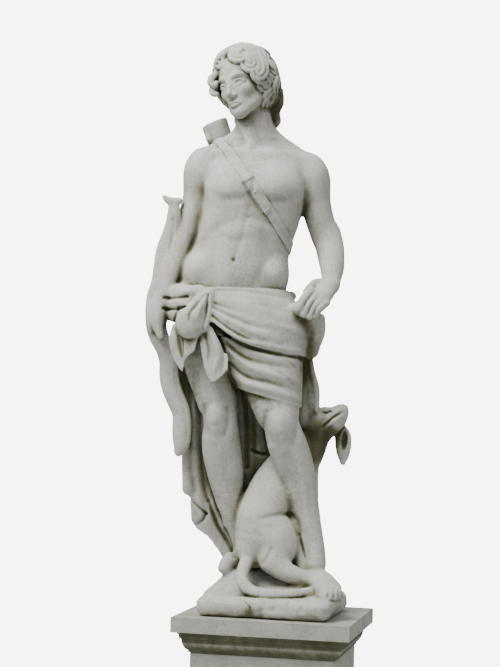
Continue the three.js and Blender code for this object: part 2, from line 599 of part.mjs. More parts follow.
function carveSlab(stone) {
  const slab = block(
    [SLAB_OFFSET_X / UNIT, SLAB_OFFSET_Y / UNIT, SLAB_HEIGHT / UNIT / 2],
    [SLAB_WIDTH / UNIT / 2, SLAB_DEPTH / UNIT / 2, SLAB_HEIGHT / UNIT / 2],
    SLAB_CORNER / UNIT,
    SLAB_EDGE / UNIT,
    -STATUE_TURN,
  );
  stone.add(slab, 4);
  stone.add(ball([-70, 70, 60], [140, 106, 70]), 24);
  stone.add(ball([-140, 40, 56], [70, 96, 36]), 24);
  stone.add(ball([70, -10, 55], [120, 110, 44]), 24);
}

// Edge collapse by quadric error, keeping the skin one closed surface.

class Heap {
  constructor() {
    this.items = [];
  }

  push(item) {
    const list = this.items;
    let i = list.push(item) - 1;
    while (i > 0) {
      const up = (i - 1) >> 1;
      if (list[up].cost <= item.cost) break;
      list[i] = list[up];
      i = up;
    }
    list[i] = item;
  }

  pop() {
    const list = this.items;
    const top = list[0];
    const last = list.pop();
    const size = list.length;
    if (size) {
      let i = 0;
      for (;;) {
        let child = 2 * i + 1;
        if (child >= size) break;
        if (child + 1 < size && list[child + 1].cost < list[child].cost) child++;
        if (list[child].cost >= last.cost) break;
        list[i] = list[child];
        i = child;
      }
      list[i] = last;
    }
    return top;
  }
}

function simplified({ positions, triangles }, target) {
  const count = positions.length / 3;
  const at = Array.from({ length: count }, (_, i) => positions.slice(3 * i, 3 * i + 3));
  const faces = [];
  const around = Array.from({ length: count }, () => new Set());
  for (let i = 0; i < triangles.length; i += 3) {
    const face = triangles.slice(i, i + 3);
    face.forEach((v) => around[v].add(faces.length));
    faces.push(face);
  }
  const normal = (a, b, c) => {
    const [ux, uy, uz] = [b[0] - a[0], b[1] - a[1], b[2] - a[2]];
    const [vx, vy, vz] = [c[0] - a[0], c[1] - a[1], c[2] - a[2]];
    return [uy * vz - uz * vy, uz * vx - ux * vz, ux * vy - uy * vx];
  };
  const errors = Array.from({ length: count }, () => new Float64Array(10));
  for (const [a, b, c] of faces) {
    const n = normal(at[a], at[b], at[c]);
    const area = Math.hypot(...n) || 1e-12;
    const [x, y, z] = n.map((v) => v / area);
    const w = -(x * at[a][0] + y * at[a][1] + z * at[a][2]);
    const q = [x * x, x * y, x * z, x * w, y * y, y * z, y * w, z * z, z * w, w * w];
    for (const v of [a, b, c]) q.forEach((value, i) => (errors[v][i] += value * area));
  }
  const errorAt = (q, [x, y, z]) =>
    q[0] * x * x + 2 * q[1] * x * y + 2 * q[2] * x * z + 2 * q[3] * x + q[4] * y * y +
    2 * q[5] * y * z + 2 * q[6] * y + q[7] * z * z + 2 * q[8] * z + q[9];
  // The best place for the joined vertex: where the error is least, or else the middle or an end.
  const bestPlace = (a, b) => {
    const q = errors[a].map((v, i) => v + errors[b][i]);
    const middle = at[a].map((v, i) => (v + at[b][i]) / 2);
    const choices = [middle, at[a], at[b]];
    const m = new THREE.Matrix3().set(q[0], q[1], q[2], q[1], q[4], q[5], q[2], q[5], q[7]);
    const size = q[0] + q[4] + q[7];
    if (Math.abs(m.determinant()) > 1e-4 * size ** 3) {
      const p = new THREE.Vector3(-q[3], -q[6], -q[8]).applyMatrix3(m.invert()).toArray();
      const far = Math.hypot(...p.map((v, i) => v - middle[i]));
      if (far < 2 * Math.hypot(...at[a].map((v, i) => v - at[b][i]))) choices.push(p);
    }
    let best = { cost: Infinity };
    for (const place of choices) {
      const cost = errorAt(q, place);
      if (cost < best.cost) best = { cost, place };
    }
    const length = Math.hypot(...at[a].map((v, i) => v - at[b][i]));
    return { cost: Math.max(best.cost, 0) + 1e-3 * length ** 3, place: best.place };
  };
  const version = new Int32Array(count);
  const heap = new Heap();
  const offer = (a, b) =>
    heap.push({ a, b, ...bestPlace(a, b), seal: version[a] + version[b] });
  faces.forEach(([a, b, c]) => {
    if (a < b) offer(a, b);
    if (b < c) offer(b, c);
    if (c < a) offer(c, a);
  });
  const neighbours = (v) => {
    const found = new Set();
    for (const f of around[v]) for (const w of faces[f]) if (w !== v) found.add(w);
    return found;
  };
  const turnsOver = (v, other, place) => {
    for (const f of around[v]) {
      if (faces[f].includes(other)) continue;
      const before = faces[f].map((w) => at[w]);
      const after = faces[f].map((w) => (w === v ? place : at[w]));
      const n = normal(...before);
      const m = normal(...after);
      const dot = n[0] * m[0] + n[1] * m[1] + n[2] * m[2];
      if (dot < 0.25 * Math.hypot(...n) * Math.hypot(...m)) return true;
    }
    return false;
  };
  let left = faces.length;
  while (left > target && heap.items.length) {
    const { a, b, place, seal } = heap.pop();
    if (!around[a].size || !around[b].size || version[a] + version[b] !== seal) continue;
    const nearA = neighbours(a);
    const nearB = neighbours(b);
    if (!nearA.has(b)) continue;
    const shared = [...nearA].filter((v) => nearB.has(v));
    if (shared.length !== 2 || nearA.size + nearB.size < 8) continue;
    if (turnsOver(a, b, place) || turnsOver(b, a, place)) continue;
    at[a] = place;
    errors[b].forEach((v, i) => (errors[a][i] += v));
    for (const f of [...around[b]]) {
      if (faces[f].includes(a)) {
        faces[f].forEach((v) => around[v].delete(f));
        faces[f] = null;
        left--;
      } else {
        faces[f] = faces[f].map((v) => (v === b ? a : v));
        around[a].add(f);
      }
    }
    around[b].clear();
    version[a]++;
    for (const v of neighbours(a)) offer(a, v);
  }
  return { positions: at.flat(), triangles: faces.filter(Boolean).flat() };
}

// Only the outer skin: loose crumbs and sealed hollows are dropped.
function largestShell({ positions, triangles }) {
  const parent = Array.from({ length: positions.length / 3 }, (_, i) => i);
  const find = (v) => {
    while (parent[v] !== v) {
      parent[v] = parent[parent[v]];
      v = parent[v];
    }
    return v;
  };
  for (let i = 0; i < triangles.length; i += 3) {
    parent[find(triangles[i])] = find(triangles[i + 1]);
    parent[find(triangles[i + 1])] = find(triangles[i + 2]);
  }
  const sizes = new Map();
  for (const v of triangles) sizes.set(find(v), (sizes.get(find(v)) ?? 0) + 1);
  const [largest] = [...sizes].reduce((a, b) => (b[1] > a[1] ? b : a));
  const kept = [];
  for (let i = 0; i < triangles.length; i += 3)
    if (find(triangles[i]) === largest) kept.push(...triangles.slice(i, i + 3));
  return { positions, triangles: kept };
}

function statueGeometry() {
  const stone = new Stone([-480, -260, -4 * CARVING_CELL], [340, 280, 1860], CARVING_CELL);
  carveBody(stone);
  carveArms(stone);
  carveLegs(stone);
  carveHead(stone);
  carveHair(stone);
  carveDrapery(stone);
  carveCloak(stone);
  carveHound(stone);
  carveBow(stone);
  carveQuiver(stone);
  carveSlab(stone);
  // The underside is sawn flat.
  stone.cut({ low: stone.low, high: [400, 400, 1], depth: (x, y, z) => z }, 1);
  const { positions, triangles } = simplified(largestShell(stone.skin()), STATUE_TRIANGLES);
  for (let i = 2; i < positions.length; i += 3) if (positions[i] < 1.5) positions[i] = 0;
  const geometry = new THREE.BufferGeometry();
  geometry.setAttribute('position', new THREE.Float32BufferAttribute(positions, 3));
  geometry.setIndex(triangles);
  geometry.scale(UNIT, UNIT, UNIT);
  const drawn = geometry.toNonIndexed();
  drawn.computeVertexNormals();
  return drawn;
}

// The pedestal

// Rows of a moulding's profile, [inset from the widest face, height], from the bottom up.
function capProfile() {
  const rows = [[DIE_INSET, 0], [DIE_INSET - NECK_FILLET, 1.5], [DIE_INSET - NECK_FILLET, 1.5 + NECK_FILLET]];
  const ovoloFoot = 1.5 + NECK_FILLET;
  const steps = 7;
  for (let i = 1; i <= steps; i++) {
    const t = (i / steps) * (Math.PI / 2);
    rows.push([
      DIE_INSET - NECK_FILLET - OVOLO_REACH * (0.6 * Math.sin(t) + (0.4 * i) / steps),
      ovoloFoot + OVOLO_HEIGHT * (0.6 * (1 - Math.cos(t)) + (0.4 * i) / steps),
    ]);
  }
  const bandFoot = ovoloFoot + OVOLO_HEIGHT + GROOVE_HEIGHT;
  rows.push([BAND_INSET + GROOVE_DEPTH, bandFoot - GROOVE_HEIGHT + 0.5]);
  rows.push([BAND_INSET + GROOVE_DEPTH, bandFoot - 0.5]);
  for (let i = 0; i <= 4; i++) {
    const t = (i / 4) * Math.PI;
    rows.push([BAND_INSET + 2 - 3 * Math.sin(t), bandFoot + (BAND_HEIGHT * (1 - Math.cos(t))) / 2]);
  }
  const slabFoot = bandFoot + BAND_HEIGHT + RECESS_HEIGHT;
  rows.push([BAND_INSET + 4, slabFoot - RECESS_HEIGHT + 0.5]);
  rows.push([BAND_INSET + 4, slabFoot]);
  rows.push([CAP_EDGE_RADIUS / 2, slabFoot]);
  rows.push([0, slabFoot + CAP_EDGE_RADIUS / 2]);
  for (let i = 0; i <= 3; i++) {
    const t = (i / 3) * (Math.PI / 2);
    rows.push([CAP_EDGE_RADIUS * (1 - Math.cos(t)), CAP_HEIGHT - CAP_EDGE_RADIUS * (1 - Math.sin(t))]);
  }
  return rows;
}

function baseProfile() {
  const rows = [[0, 0], [0, PLINTH_HEIGHT - 6], [4, PLINTH_HEIGHT]];
  const steps = 8;
  for (let i = 0; i <= steps; i++) {
    const t = i / steps;
    const wave = t - Math.sin(2 * Math.PI * t) / (2 * Math.PI);
    rows.push([8 + (BASE_MOULD_REACH - 8) * wave, PLINTH_HEIGHT + 6 + (BASE_MOULD_HEIGHT - 6) * t]);
  }
  return rows;
}

// A block whose four mitred sides follow a profile: its widest plan is width by depth.
function mouldedBlock(width, depth, profile) {
  const positions = [];
  const indices = [];
  for (const [inset, z] of profile) {
    const x = width / 2 - inset;
    const y = depth / 2 - inset;
    positions.push(-x, -y, z, x, -y, z, x, y, z, -x, y, z);
  }
  for (let row = 0; row + 1 < profile.length; row++)
    for (let side = 0; side < 4; side++) {
      const a = 4 * row + side;
      const b = 4 * row + ((side + 1) % 4);
      indices.push(a, b, b + 4, a, b + 4, a + 4);
    }
  const top = 4 * (profile.length - 1);
  indices.push(0, 2, 1, 0, 3, 2, top, top + 1, top + 2, top, top + 2, top + 3);
  const geometry = new THREE.BufferGeometry();
  geometry.setAttribute('position', new THREE.Float32BufferAttribute(positions, 3));
  geometry.setIndex(indices);
  const flat = geometry.toNonIndexed();
  flat.computeVertexNormals();
  return flat;
}

const DIE_INSET = BAND_INSET + GROOVE_DEPTH + OVOLO_REACH + NECK_FILLET;
const DIE_WIDTH = CAP_WIDTH - 2 * DIE_INSET;
const DIE_DEPTH = CAP_DEPTH - 2 * DIE_INSET;
const MOULDING_HEIGHT = 1.5 + NECK_FILLET + OVOLO_HEIGHT + GROOVE_HEIGHT + BAND_HEIGHT + RECESS_HEIGHT;
const CAP_HEIGHT = MOULDING_HEIGHT + CAP_SLAB_HEIGHT;
const BASE_HEIGHT = PLINTH_HEIGHT + BASE_MOULD_HEIGHT;

const caststone = new THREE.MeshStandardMaterial({ color: 0xc9c8c0, roughness: 0.9, metalness: 0 });
const weatheredStone = new THREE.MeshStandardMaterial({ color: 0xb0afa4, roughness: 0.92, metalness: 0 });

function piece(name, geometry, material, z) {
  const mesh = new THREE.Mesh(geometry, material);
  mesh.name = name;
  mesh.position.z = z;
  return mesh;
}

const garden = new THREE.Group();
const baseWidth = DIE_WIDTH + 2 * BASE_MOULD_REACH;
const baseDepth = DIE_DEPTH + 2 * BASE_MOULD_REACH;
garden.add(piece('pedestal_base', mouldedBlock(baseWidth, baseDepth, baseProfile()), weatheredStone, 0));

const dieFoot = BASE_HEIGHT + BED_GAP;
const dieShape = mouldedBlock(DIE_WIDTH, DIE_DEPTH, [[0, 0], [0, DIE_HEIGHT]]);
garden.add(piece('pedestal_die', dieShape, weatheredStone, dieFoot));

const capFoot = dieFoot + DIE_HEIGHT + BED_GAP;
garden.add(piece('pedestal_cap', mouldedBlock(CAP_WIDTH, CAP_DEPTH, capProfile()), weatheredStone, capFoot));

const statue = piece('statue', statueGeometry(), caststone, capFoot + CAP_HEIGHT + BED_GAP);
statue.rotation.z = STATUE_TURN * DEGREE;
garden.add(statue);

export default garden;
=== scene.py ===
"""A life-size garden statue of a young huntsman with his hound, on a moulded pedestal, in weathered
cast stone. The carving is a field of depths that forms are melted into and cut from; the pedestal's
blocks are turned out with bmesh. Metres in Blender, millimetres while the carving is drawn."""

import math

import bmesh
import bpy
import numpy as np
import openvdb
from mathutils import Matrix, Vector, noise


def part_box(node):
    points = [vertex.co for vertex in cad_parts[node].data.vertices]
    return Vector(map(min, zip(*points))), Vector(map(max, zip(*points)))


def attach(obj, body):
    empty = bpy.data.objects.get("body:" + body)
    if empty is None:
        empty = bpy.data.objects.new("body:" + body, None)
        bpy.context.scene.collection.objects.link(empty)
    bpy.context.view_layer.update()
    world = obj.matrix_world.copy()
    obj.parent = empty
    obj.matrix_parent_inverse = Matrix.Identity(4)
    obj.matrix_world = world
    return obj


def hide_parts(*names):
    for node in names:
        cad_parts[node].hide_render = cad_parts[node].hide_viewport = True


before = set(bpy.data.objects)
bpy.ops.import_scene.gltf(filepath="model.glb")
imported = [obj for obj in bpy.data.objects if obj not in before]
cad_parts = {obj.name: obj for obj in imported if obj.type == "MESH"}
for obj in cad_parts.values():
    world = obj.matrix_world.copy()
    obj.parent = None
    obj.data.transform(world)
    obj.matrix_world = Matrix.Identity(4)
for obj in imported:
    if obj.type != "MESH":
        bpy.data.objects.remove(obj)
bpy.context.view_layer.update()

MM = 0.001
STATUE_TURN = math.radians(13)
STATUE_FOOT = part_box("statue")[0][2]


def linked(name, data):
    made = bpy.data.objects.new(name, data)
    bpy.context.scene.collection.objects.link(made)
    return made


# Carving forms

NEAR = 24.0           # how far off its skin a form's depths are worked out
FAR = 1e3             # the depth given to places beyond that
SKIN_BAND = 12.0      # depths kept on either side when the skin is taken
TRUNK_LEVELS = (1050, 1500)


def smooth_rows(rows, steps):
    rows = np.array(rows, float)
    padded = np.vstack([rows[:1], rows, rows[-1:]])
    out = []
    for i in range(len(rows) - 1):
        a, b, c, d = padded[i:i + 4]
        for t in np.arange(steps) / steps:
            bend = 2 * a - 5 * b + 4 * c - d + (3 * b - a - 3 * c + d) * t
            out.append(b + 0.5 * t * (c - a + t * bend))
    out.append(rows[-1])
    return np.array(out)


class Limb:
    """A round limb through stations (x, y, z, radius), pressed to a share of its width along a direction."""

    def __init__(self, stations, flat=None, share=1.0, steps=4, near=NEAR):
        self.line = smooth_rows(stations, steps if len(stations) > 2 else 1)
        self.flat = None if flat is None else np.array(flat, float) / np.linalg.norm(flat)
        self.stretch = 1 / share - 1
        self.near = near

    def placed(self, centre, turn):
        self.line[:, :3] = self.line[:, :3] @ turn.T + centre
        if self.flat is not None:
            self.flat = turn @ self.flat
        return self

    def box(self):
        reach = self.line[:, 3].max()
        return self.line[:, :3].min(0) - reach, self.line[:, :3].max(0) + reach

    def measure(self, axes):
        out = np.full([len(a) for a in axes], FAR, np.float32)
        for a, b in zip(self.line[:-1], self.line[1:]):
            reach = max(a[3], b[3]) + self.near
            cut = tuple(
                slice(*np.searchsorted(axis, (min(p, q) - reach, max(p, q) + reach)))
                for axis, p, q in zip(axes, a, b)
            )
            x, y, z = spread([axis[c] for axis, c in zip(axes, cut)])
            if not (x.size and y.size and z.size):
                continue
            step = (b - a)[:3].astype(np.float32)
            long = max(float(step @ step), 1e-9)
            px, py, pz = x - np.float32(a[0]), y - np.float32(a[1]), z - np.float32(a[2])
            t = px * (step[0] / long) + py * (step[1] / long) + pz * (step[2] / long)
            np.clip(t, 0, 1, out=t)
            dx, dy, dz = px - t * step[0], py - t * step[1], pz - t * step[2]
            if self.flat is not None:
                nx, ny, nz = self.flat.astype(np.float32)
                lift = (dx * nx + dy * ny + dz * nz) * np.float32(self.stretch)
                dx += lift * nx
                dy += lift * ny
                dz += lift * nz
            d = np.sqrt(dx * dx + dy * dy + dz * dz)
            d -= np.float32(a[3]) + t * np.float32(b[3] - a[3])
            np.minimum(out[cut], d, out=out[cut])
        return out


class Ball:
    """An ellipsoid with its three radii, turned in degrees about x, then y, then z."""

    def __init__(self, centre, radii, turn=(0, 0, 0), near=NEAR):
        self.centre = np.array(centre, float)
        self.radii = np.array(radii, float)
        self.turn = turned(turn)
        self.near = near

    def placed(self, centre, turn):
        self.centre = turn @ self.centre + centre
        self.turn = turn @ self.turn
        return self

    def box(self):
        reach = np.sqrt(((self.turn * self.radii) ** 2).sum(1))
        return self.centre - reach, self.centre + reach

    def measure(self, axes):
        x, y, z = spread([axis - c for axis, c in zip(axes, self.centre)])
        outer, inner = 0, 0
        for side, r in zip(self.turn.T, self.radii):
            u = x * np.float32(side[0] / r) + y * np.float32(side[1] / r) + z * np.float32(side[2] / r)
            outer = outer + u * u
            inner = inner + u * u * np.float32(1 / (r * r))
        outer = np.sqrt(outer)
        return (outer * (outer - 1) / np.sqrt(np.maximum(inner, 1e-12))).astype(np.float32)


class Column:
    """An upright body through levels (z, x, y, half width, half depth), lowest first."""

    def __init__(self, levels, squareness, near=NEAR):
        self.rows = smooth_rows(levels, 6)
        self.squareness = squareness
        self.near = near

    def box(self):
        z, x, y, w, d = self.rows.T
        return (np.array([(x - w).min(), (y - d).min(), z.min()]),
                np.array([(x + w).max(), (y + d).max(), z.max()]))

    def measure(self, axes):
        level = self.rows[:, 0]
        cx, cy, w, d = [np.interp(axes[2], level, self.rows[:, i]).astype(np.float32) for i in (1, 2, 3, 4)]
        x, y, z = spread(axes)
        dx, dy = x - cx, y - cy
        power = self.squareness
        q = (np.abs(dx / w) ** power + np.abs(dy / d) ** power) ** (1 / power)
        r = np.sqrt(dx * dx + dy * dy)
        side = r - r / np.maximum(q, 1e-6)
        return np.maximum(side, np.maximum(level[0] - z, z - level[-1])).astype(np.float32)


class Block:
    """A block with rounded corners and edges, turned about z."""

    def __init__(self, centre, half, corner, edge, turn, near=NEAR):
        self.centre, self.half = np.array(centre, float), np.array(half, float)
        self.corner, self.edge, self.turn, self.near = corner, edge, turn, near

    def box(self):
        reach = np.array([np.hypot(*self.half[:2])] * 2 + [self.half[2]])
        return self.centre - reach, self.centre + reach

    def measure(self, axes):
        x, y, z = spread([axis - c for axis, c in zip(axes, self.centre)])
        c, s = math.cos(self.turn), math.sin(self.turn)
        qx = np.abs(c * x + s * y) - self.half[0] + self.corner
        qy = np.abs(c * y - s * x) - self.half[1] + self.corner
        plan = np.hypot(np.maximum(qx, 0), np.maximum(qy, 0)) + np.minimum(np.maximum(qx, qy), 0)
        plan = plan - self.corner + self.edge
        rise = np.abs(z) - self.half[2] + self.edge
        out = np.hypot(np.maximum(plan, 0), np.maximum(rise, 0)) + np.minimum(np.maximum(plan, rise), 0)
        return (out - self.edge).astype(np.float32)


class Clipped:
    """The part of a form on the inner side of planes (nx, ny, nz, offset)."""

    def __init__(self, form, planes):
        self.form, self.near = form, form.near
        self.planes = [np.array(p, float) / np.linalg.norm(p[:3]) for p in planes]

    def placed(self, centre, turn):
        self.form.placed(centre, turn)
        self.planes = [np.append(turn @ p[:3], p[3] + (turn @ p[:3]) @ centre) for p in self.planes]
        return self

    def box(self):
        return self.form.box()

    def measure(self, axes):
        out = self.form.measure(axes)
        x, y, z = spread(axes)
        for nx, ny, nz, offset in self.planes:
            np.maximum(out, (x * nx + y * ny + z * nz - offset).astype(np.float32), out=out)
        return out


class Sheet:
    """A hanging sheet: its outline in x and z, the depth y of its middle along x, half its thickness."""

    def __init__(self, outline, middle, half, near=NEAR):
        self.outline, self.middle = np.array(outline, float), np.array(middle, float)
        self.half, self.near = half, near

    def box(self):
        (x0, z0), (x1, z1) = self.outline.min(0), self.outline.max(0)
        y = self.middle[:, 1]
        return np.array([x0, y.min() - self.half, z0]), np.array([x1, y.max() + self.half, z1])

    def measure(self, axes):
        x, z = np.asarray(axes[0])[:, None], np.asarray(axes[2])[None, :]
        away = np.full((x.size, z.size), FAR)
        inside = np.zeros((x.size, z.size), bool)
        for a, b in zip(self.outline, np.roll(self.outline, -1, 0)):
            ex, ez = b - a
            t = np.clip(((x - a[0]) * ex + (z - a[1]) * ez) / (ex * ex + ez * ez), 0, 1)
            away = np.minimum(away, np.hypot(x - a[0] - t * ex, z - a[1] - t * ez))
            if ez:
                crossed = (a[1] > z) != (b[1] > z)
                inside ^= crossed & (x < a[0] + (z - a[1]) * ex / ez)
        plan = np.where(inside, -away, away)[:, None, :]
        middle = np.interp(axes[0], self.middle[:, 0], self.middle[:, 1])[:, None, None]
        through = np.abs(np.asarray(axes[1])[None, :, None] - middle) - self.half
        out = np.hypot(np.maximum(plan, 0), np.maximum(through, 0)) + np.minimum(np.maximum(plan, through), 0)
        return out.astype(np.float32)


def spread(axes):
    x, y, z = [np.asarray(a, np.float32) for a in axes]
    return x[:, None, None], y[None, :, None], z[None, None, :]


def turned(degrees):
    rx, ry, rz = [math.radians(v) for v in degrees]
    turn = Matrix.Rotation(rz, 3, "Z") @ Matrix.Rotation(ry, 3, "Y") @ Matrix.Rotation(rx, 3, "X")
    return np.array(turn)


def graded(stretches):
    """Places along one axis, from stretches (start, end, cell) that follow each other."""
    places = [np.arange(start, end - cell / 2, cell) for start, end, cell in stretches]
    return np.append(np.concatenate(places), stretches[-1][1])


class Stone:
    """The block of stone: a grid of depths that forms are added to and cut from."""

    def __init__(self, axes):
        self.axes = axes
        self.depths = np.full([len(a) for a in axes], NEAR, np.float32)

    def window(self, form, margin):
        low, high = form.box()
        return tuple(
            slice(*np.searchsorted(axis, (a - margin, b + margin)))
            for axis, a, b in zip(self.axes, low, high)
        )

    def add(self, form, blend=1.0):
        cut = self.window(form, form.near)
        d = form.measure([axis[c] for axis, c in zip(self.axes, cut)])
        old = self.depths[cut]
        h = np.maximum(blend - np.abs(old - d), 0)
        self.depths[cut] = np.minimum(old, d) - h * h / (4 * blend)

    def cut(self, form, blend=1.0):
        form.near = min(form.near, blend + 6)
        cut = self.window(form, blend)
        d = form.measure([axis[c] for axis, c in zip(self.axes, cut)])
        old = self.depths[cut]
        h = np.maximum(blend - np.abs(old + d), 0)
        self.depths[cut] = np.maximum(old, -d) + h * h / (4 * blend)

    def stroke(self, rows, span=(-260, 30)):
        """Draws a line into the skin along y: rows (x, z, width, height), raised or, below nothing, sunk."""
        line = smooth_rows(rows, 5 if len(rows) > 2 else 1)
        reach = 2.4 * line[:, 2].max()
        low = (line[:, 0].min() - reach, span[0], line[:, 1].min() - reach)
        high = (line[:, 0].max() + reach, span[1], line[:, 1].max() + reach)
        cut = tuple(slice(*np.searchsorted(axis, ends)) for axis, *ends in zip(self.axes, low, high))
        x, y, z = [axis[c] for axis, c in zip(self.axes, cut)]
        x, z = x[:, None], z[None, :]
        lift = np.zeros((x.size, z.size))
        for a, b in zip(line[:-1], line[1:]):
            ex, ez = b[0] - a[0], b[1] - a[1]
            t = np.clip(((x - a[0]) * ex + (z - a[1]) * ez) / max(ex * ex + ez * ez, 1e-9), 0, 1)
            d = np.hypot(x - a[0] - t * ex, z - a[1] - t * ez)
            here = (a[3] + t * (b[3] - a[3])) * np.exp(-(d / (a[2] + t * (b[2] - a[2]))) ** 2)
            lift = np.where(np.abs(here) > np.abs(lift), here, lift)
        fade = np.clip(np.minimum(y - span[0], span[1] - y) / 16, 0, 1)
        self.depths[cut] -= (lift[:, None, :] * fade[None, :, None]).astype(np.float32)

    def raised(self, plane, half_width, marks, height):
        """Raises a band of the trunk's skin, within half_width of a plane and between two marks along it."""
        low, high = np.searchsorted(self.axes[2], TRUNK_LEVELS)
        cut = np.s_[:, :, low:high]
        x, y, z = spread([self.axes[0], self.axes[1], self.axes[2][low:high]])
        nx, ny, nz, offset = [float(v) for v in plane]
        along = nz * x - nx * z
        d = np.abs(nx * x + ny * y + nz * z - offset) - half_width
        d = np.maximum(d, np.maximum(marks[0] - along, along - marks[1])).astype(np.float32)
        old = self.depths[cut]
        self.depths[cut] = np.minimum(old, np.maximum(old - np.float32(height), d))


# Carving. The figure is drawn facing the front, y away from the front, z up from the underside of
# the slab; it is turned on the pedestal afterwards.

HEAD_CENTRE = [-134, -16, 1668]
HEAD_TURN = [7, -12, -37]
SKULL = [76, 94, 92]

# Lines drawn on the skin: rows (x, z, width, height)
CHEST_LINES = [
    [[-236, 1312, 12, -2], [-190, 1290, 14, -5], [-140, 1292, 13, -4], [-112, 1306, 10, -2]],
    [[40, 1312, 12, -2], [4, 1290, 14, -5], [-46, 1290, 13, -4], [-84, 1306, 10, -2]],
    [[-250, 1166, 14, -3], [-206, 1204, 16, -4], [-150, 1222, 14, -3], [-112, 1232, 12, -2]],
    [[16, 1176, 14, -3], [-22, 1208, 16, -4], [-70, 1224, 14, -3], [-106, 1232, 12, -2]],
    [[-116, 1250, 8, -2], [-126, 1200, 9, -2.5], [-142, 1140, 9, -2], [-153, 1112, 7, -1.5]],
    [[-186, 1170, 12, -1.5], [-150, 1162, 12, -2.5], [-104, 1166, 12, -1.5]],
    [[-232, 1130, 12, -1], [-222, 1080, 14, -3], [-200, 1030, 12, -2]],
    [[-30, 1130, 12, -1], [-62, 1080, 14, -3], [-90, 1030, 12, -2]],
    [[-176, 1330, 26, 3], [-150, 1340, 24, 3]], [[-30, 1332, 26, 3], [-8, 1340, 24, 3]],
]
BACK_LINES = [
    [[-98, 1480, 9, -5], [-102, 1360, 12, -9], [-122, 1220, 13, -9], [-142, 1080, 12, -7]],
    [[-150, 1400, 14, -5], [-158, 1330, 16, -7], [-196, 1280, 16, -5]],
    [[-46, 1400, 14, -5], [-38, 1330, 16, -7], [0, 1280, 16, -5]],
]


def carve_body(stone):
    # Trunk, from the hips to the collar
    stone.add(Column([
        [860, -140, 15, 158, 112], [930, -150, 14, 166, 114], [1010, -160, 12, 168, 110],
        [1090, -146, 8, 160, 98], [1150, -132, 6, 154, 96], [1220, -113, 6, 158, 106],
        [1300, -101, 6, 163, 114], [1370, -98, 8, 164, 110], [1420, -97, 14, 154, 90],
        [1458, -97, 22, 108, 66], [1488, -98, 26, 64, 52],
    ], 2.4), 10)
    # Chest, belly and the ridges over the hips
    stone.add(Ball([-166, -76, 1328], [80, 38, 56], [0, 0, -14]), 28)
    stone.add(Ball([-30, -74, 1328], [80, 38, 56], [0, 0, 14]), 28)
    stone.add(Ball([-138, -66, 1176], [62, 40, 60]), 30)
    stone.add(Ball([-150, -62, 1092], [88, 46, 84]), 30)
    stone.add(Ball([-266, -20, 1072], [50, 70, 54], [0, 12, 0]), 30)
    stone.add(Ball([-32, -20, 1062], [46, 70, 52], [0, -12, 0]), 30)
    # The groove down the chest, the lower edge of the ribs and the navel
    stone.cut(Limb([[-98, -122, 1400, 5], [-100, -128, 1330, 6], [-112, -122, 1262, 5]]), 18)
    stone.cut(Limb([[-216, -102, 1246, 4], [-170, -122, 1240, 5], [-112, -120, 1262, 4]]), 18)
    stone.cut(Limb([[14, -100, 1246, 4], [-40, -120, 1240, 5], [-112, -120, 1262, 4]]), 18)
    stone.cut(Ball([-156, -118, 1098], [8, 16, 10]), 8)
    # Back, shoulder blades and seat
    stone.add(Ball([-186, 88, 1350], [68, 34, 84], [0, 10, 0]), 30)
    stone.add(Ball([-12, 88, 1350], [68, 34, 84], [0, -10, 0]), 30)
    stone.add(Ball([-220, 88, 930], [86, 48, 90]), 30)
    stone.add(Ball([-70, 88, 930], [86, 48, 90]), 30)
    # Neck, slopes of the shoulders and collar bones
    stone.add(Limb([[-97, 24, 1440, 74], [-98, 16, 1510, 61], [-108, 8, 1580, 57]]), 24)
    stone.add(Limb([[-112, 30, 1516, 38], [-180, 26, 1472, 36], [-258, 20, 1416, 42]]), 30)
    stone.add(Limb([[-86, 30, 1516, 38], [-12, 26, 1468, 37], [72, 20, 1404, 42]]), 30)
    stone.add(Limb([[-112, -56, 1436, 11], [-180, -46, 1446, 11], [-250, -10, 1440, 14]]), 26)
    stone.add(Limb([[-82, -56, 1436, 11], [-16, -46, 1440, 11], [62, -10, 1426, 14]]), 26)
    stone.add(Limb([[-104, -56, 1450, 12], [-128, -36, 1520, 12], [-150, -6, 1580, 14]]), 26)
    stone.cut(Ball([-97, -82, 1456], [14, 16, 16]), 16)
    for line in CHEST_LINES:
        stone.stroke(line, (-200, -40))
    for line in BACK_LINES:
        stone.stroke(line, (60, 240))
    carve_strap(stone)


# The quiver's strap lies in one slanting plane round the trunk.
STRAP_PLANE = [0.82, 0, 0.572, 677]
STRAP_HALF_WIDTH = 15
TONGUE_PLANE = [0.82, 0, 0.572, 669]
WHOLE_LENGTH = [-3000, 3000]


def carve_strap(stone):
    stone.raised(STRAP_PLANE, STRAP_HALF_WIDTH, WHOLE_LENGTH, 4.2)
    stone.raised(STRAP_PLANE, STRAP_HALF_WIDTH - 3, WHOLE_LENGTH, 0.8)
    # Its loose tongue, that tongue's tip, the keeper and the buckle's pin
    stone.raised(TONGUE_PLANE, STRAP_HALF_WIDTH - 1, [-1186, -1062], 2.6)
    stone.raised(TONGUE_PLANE, STRAP_HALF_WIDTH - 6, [-1062, -1050], 2.4)
    stone.raised(STRAP_PLANE, STRAP_HALF_WIDTH + 4, [-1188, -1170], 2.4)
    stone.raised(TONGUE_PLANE, 3, [-1132, -1126], 2.4)


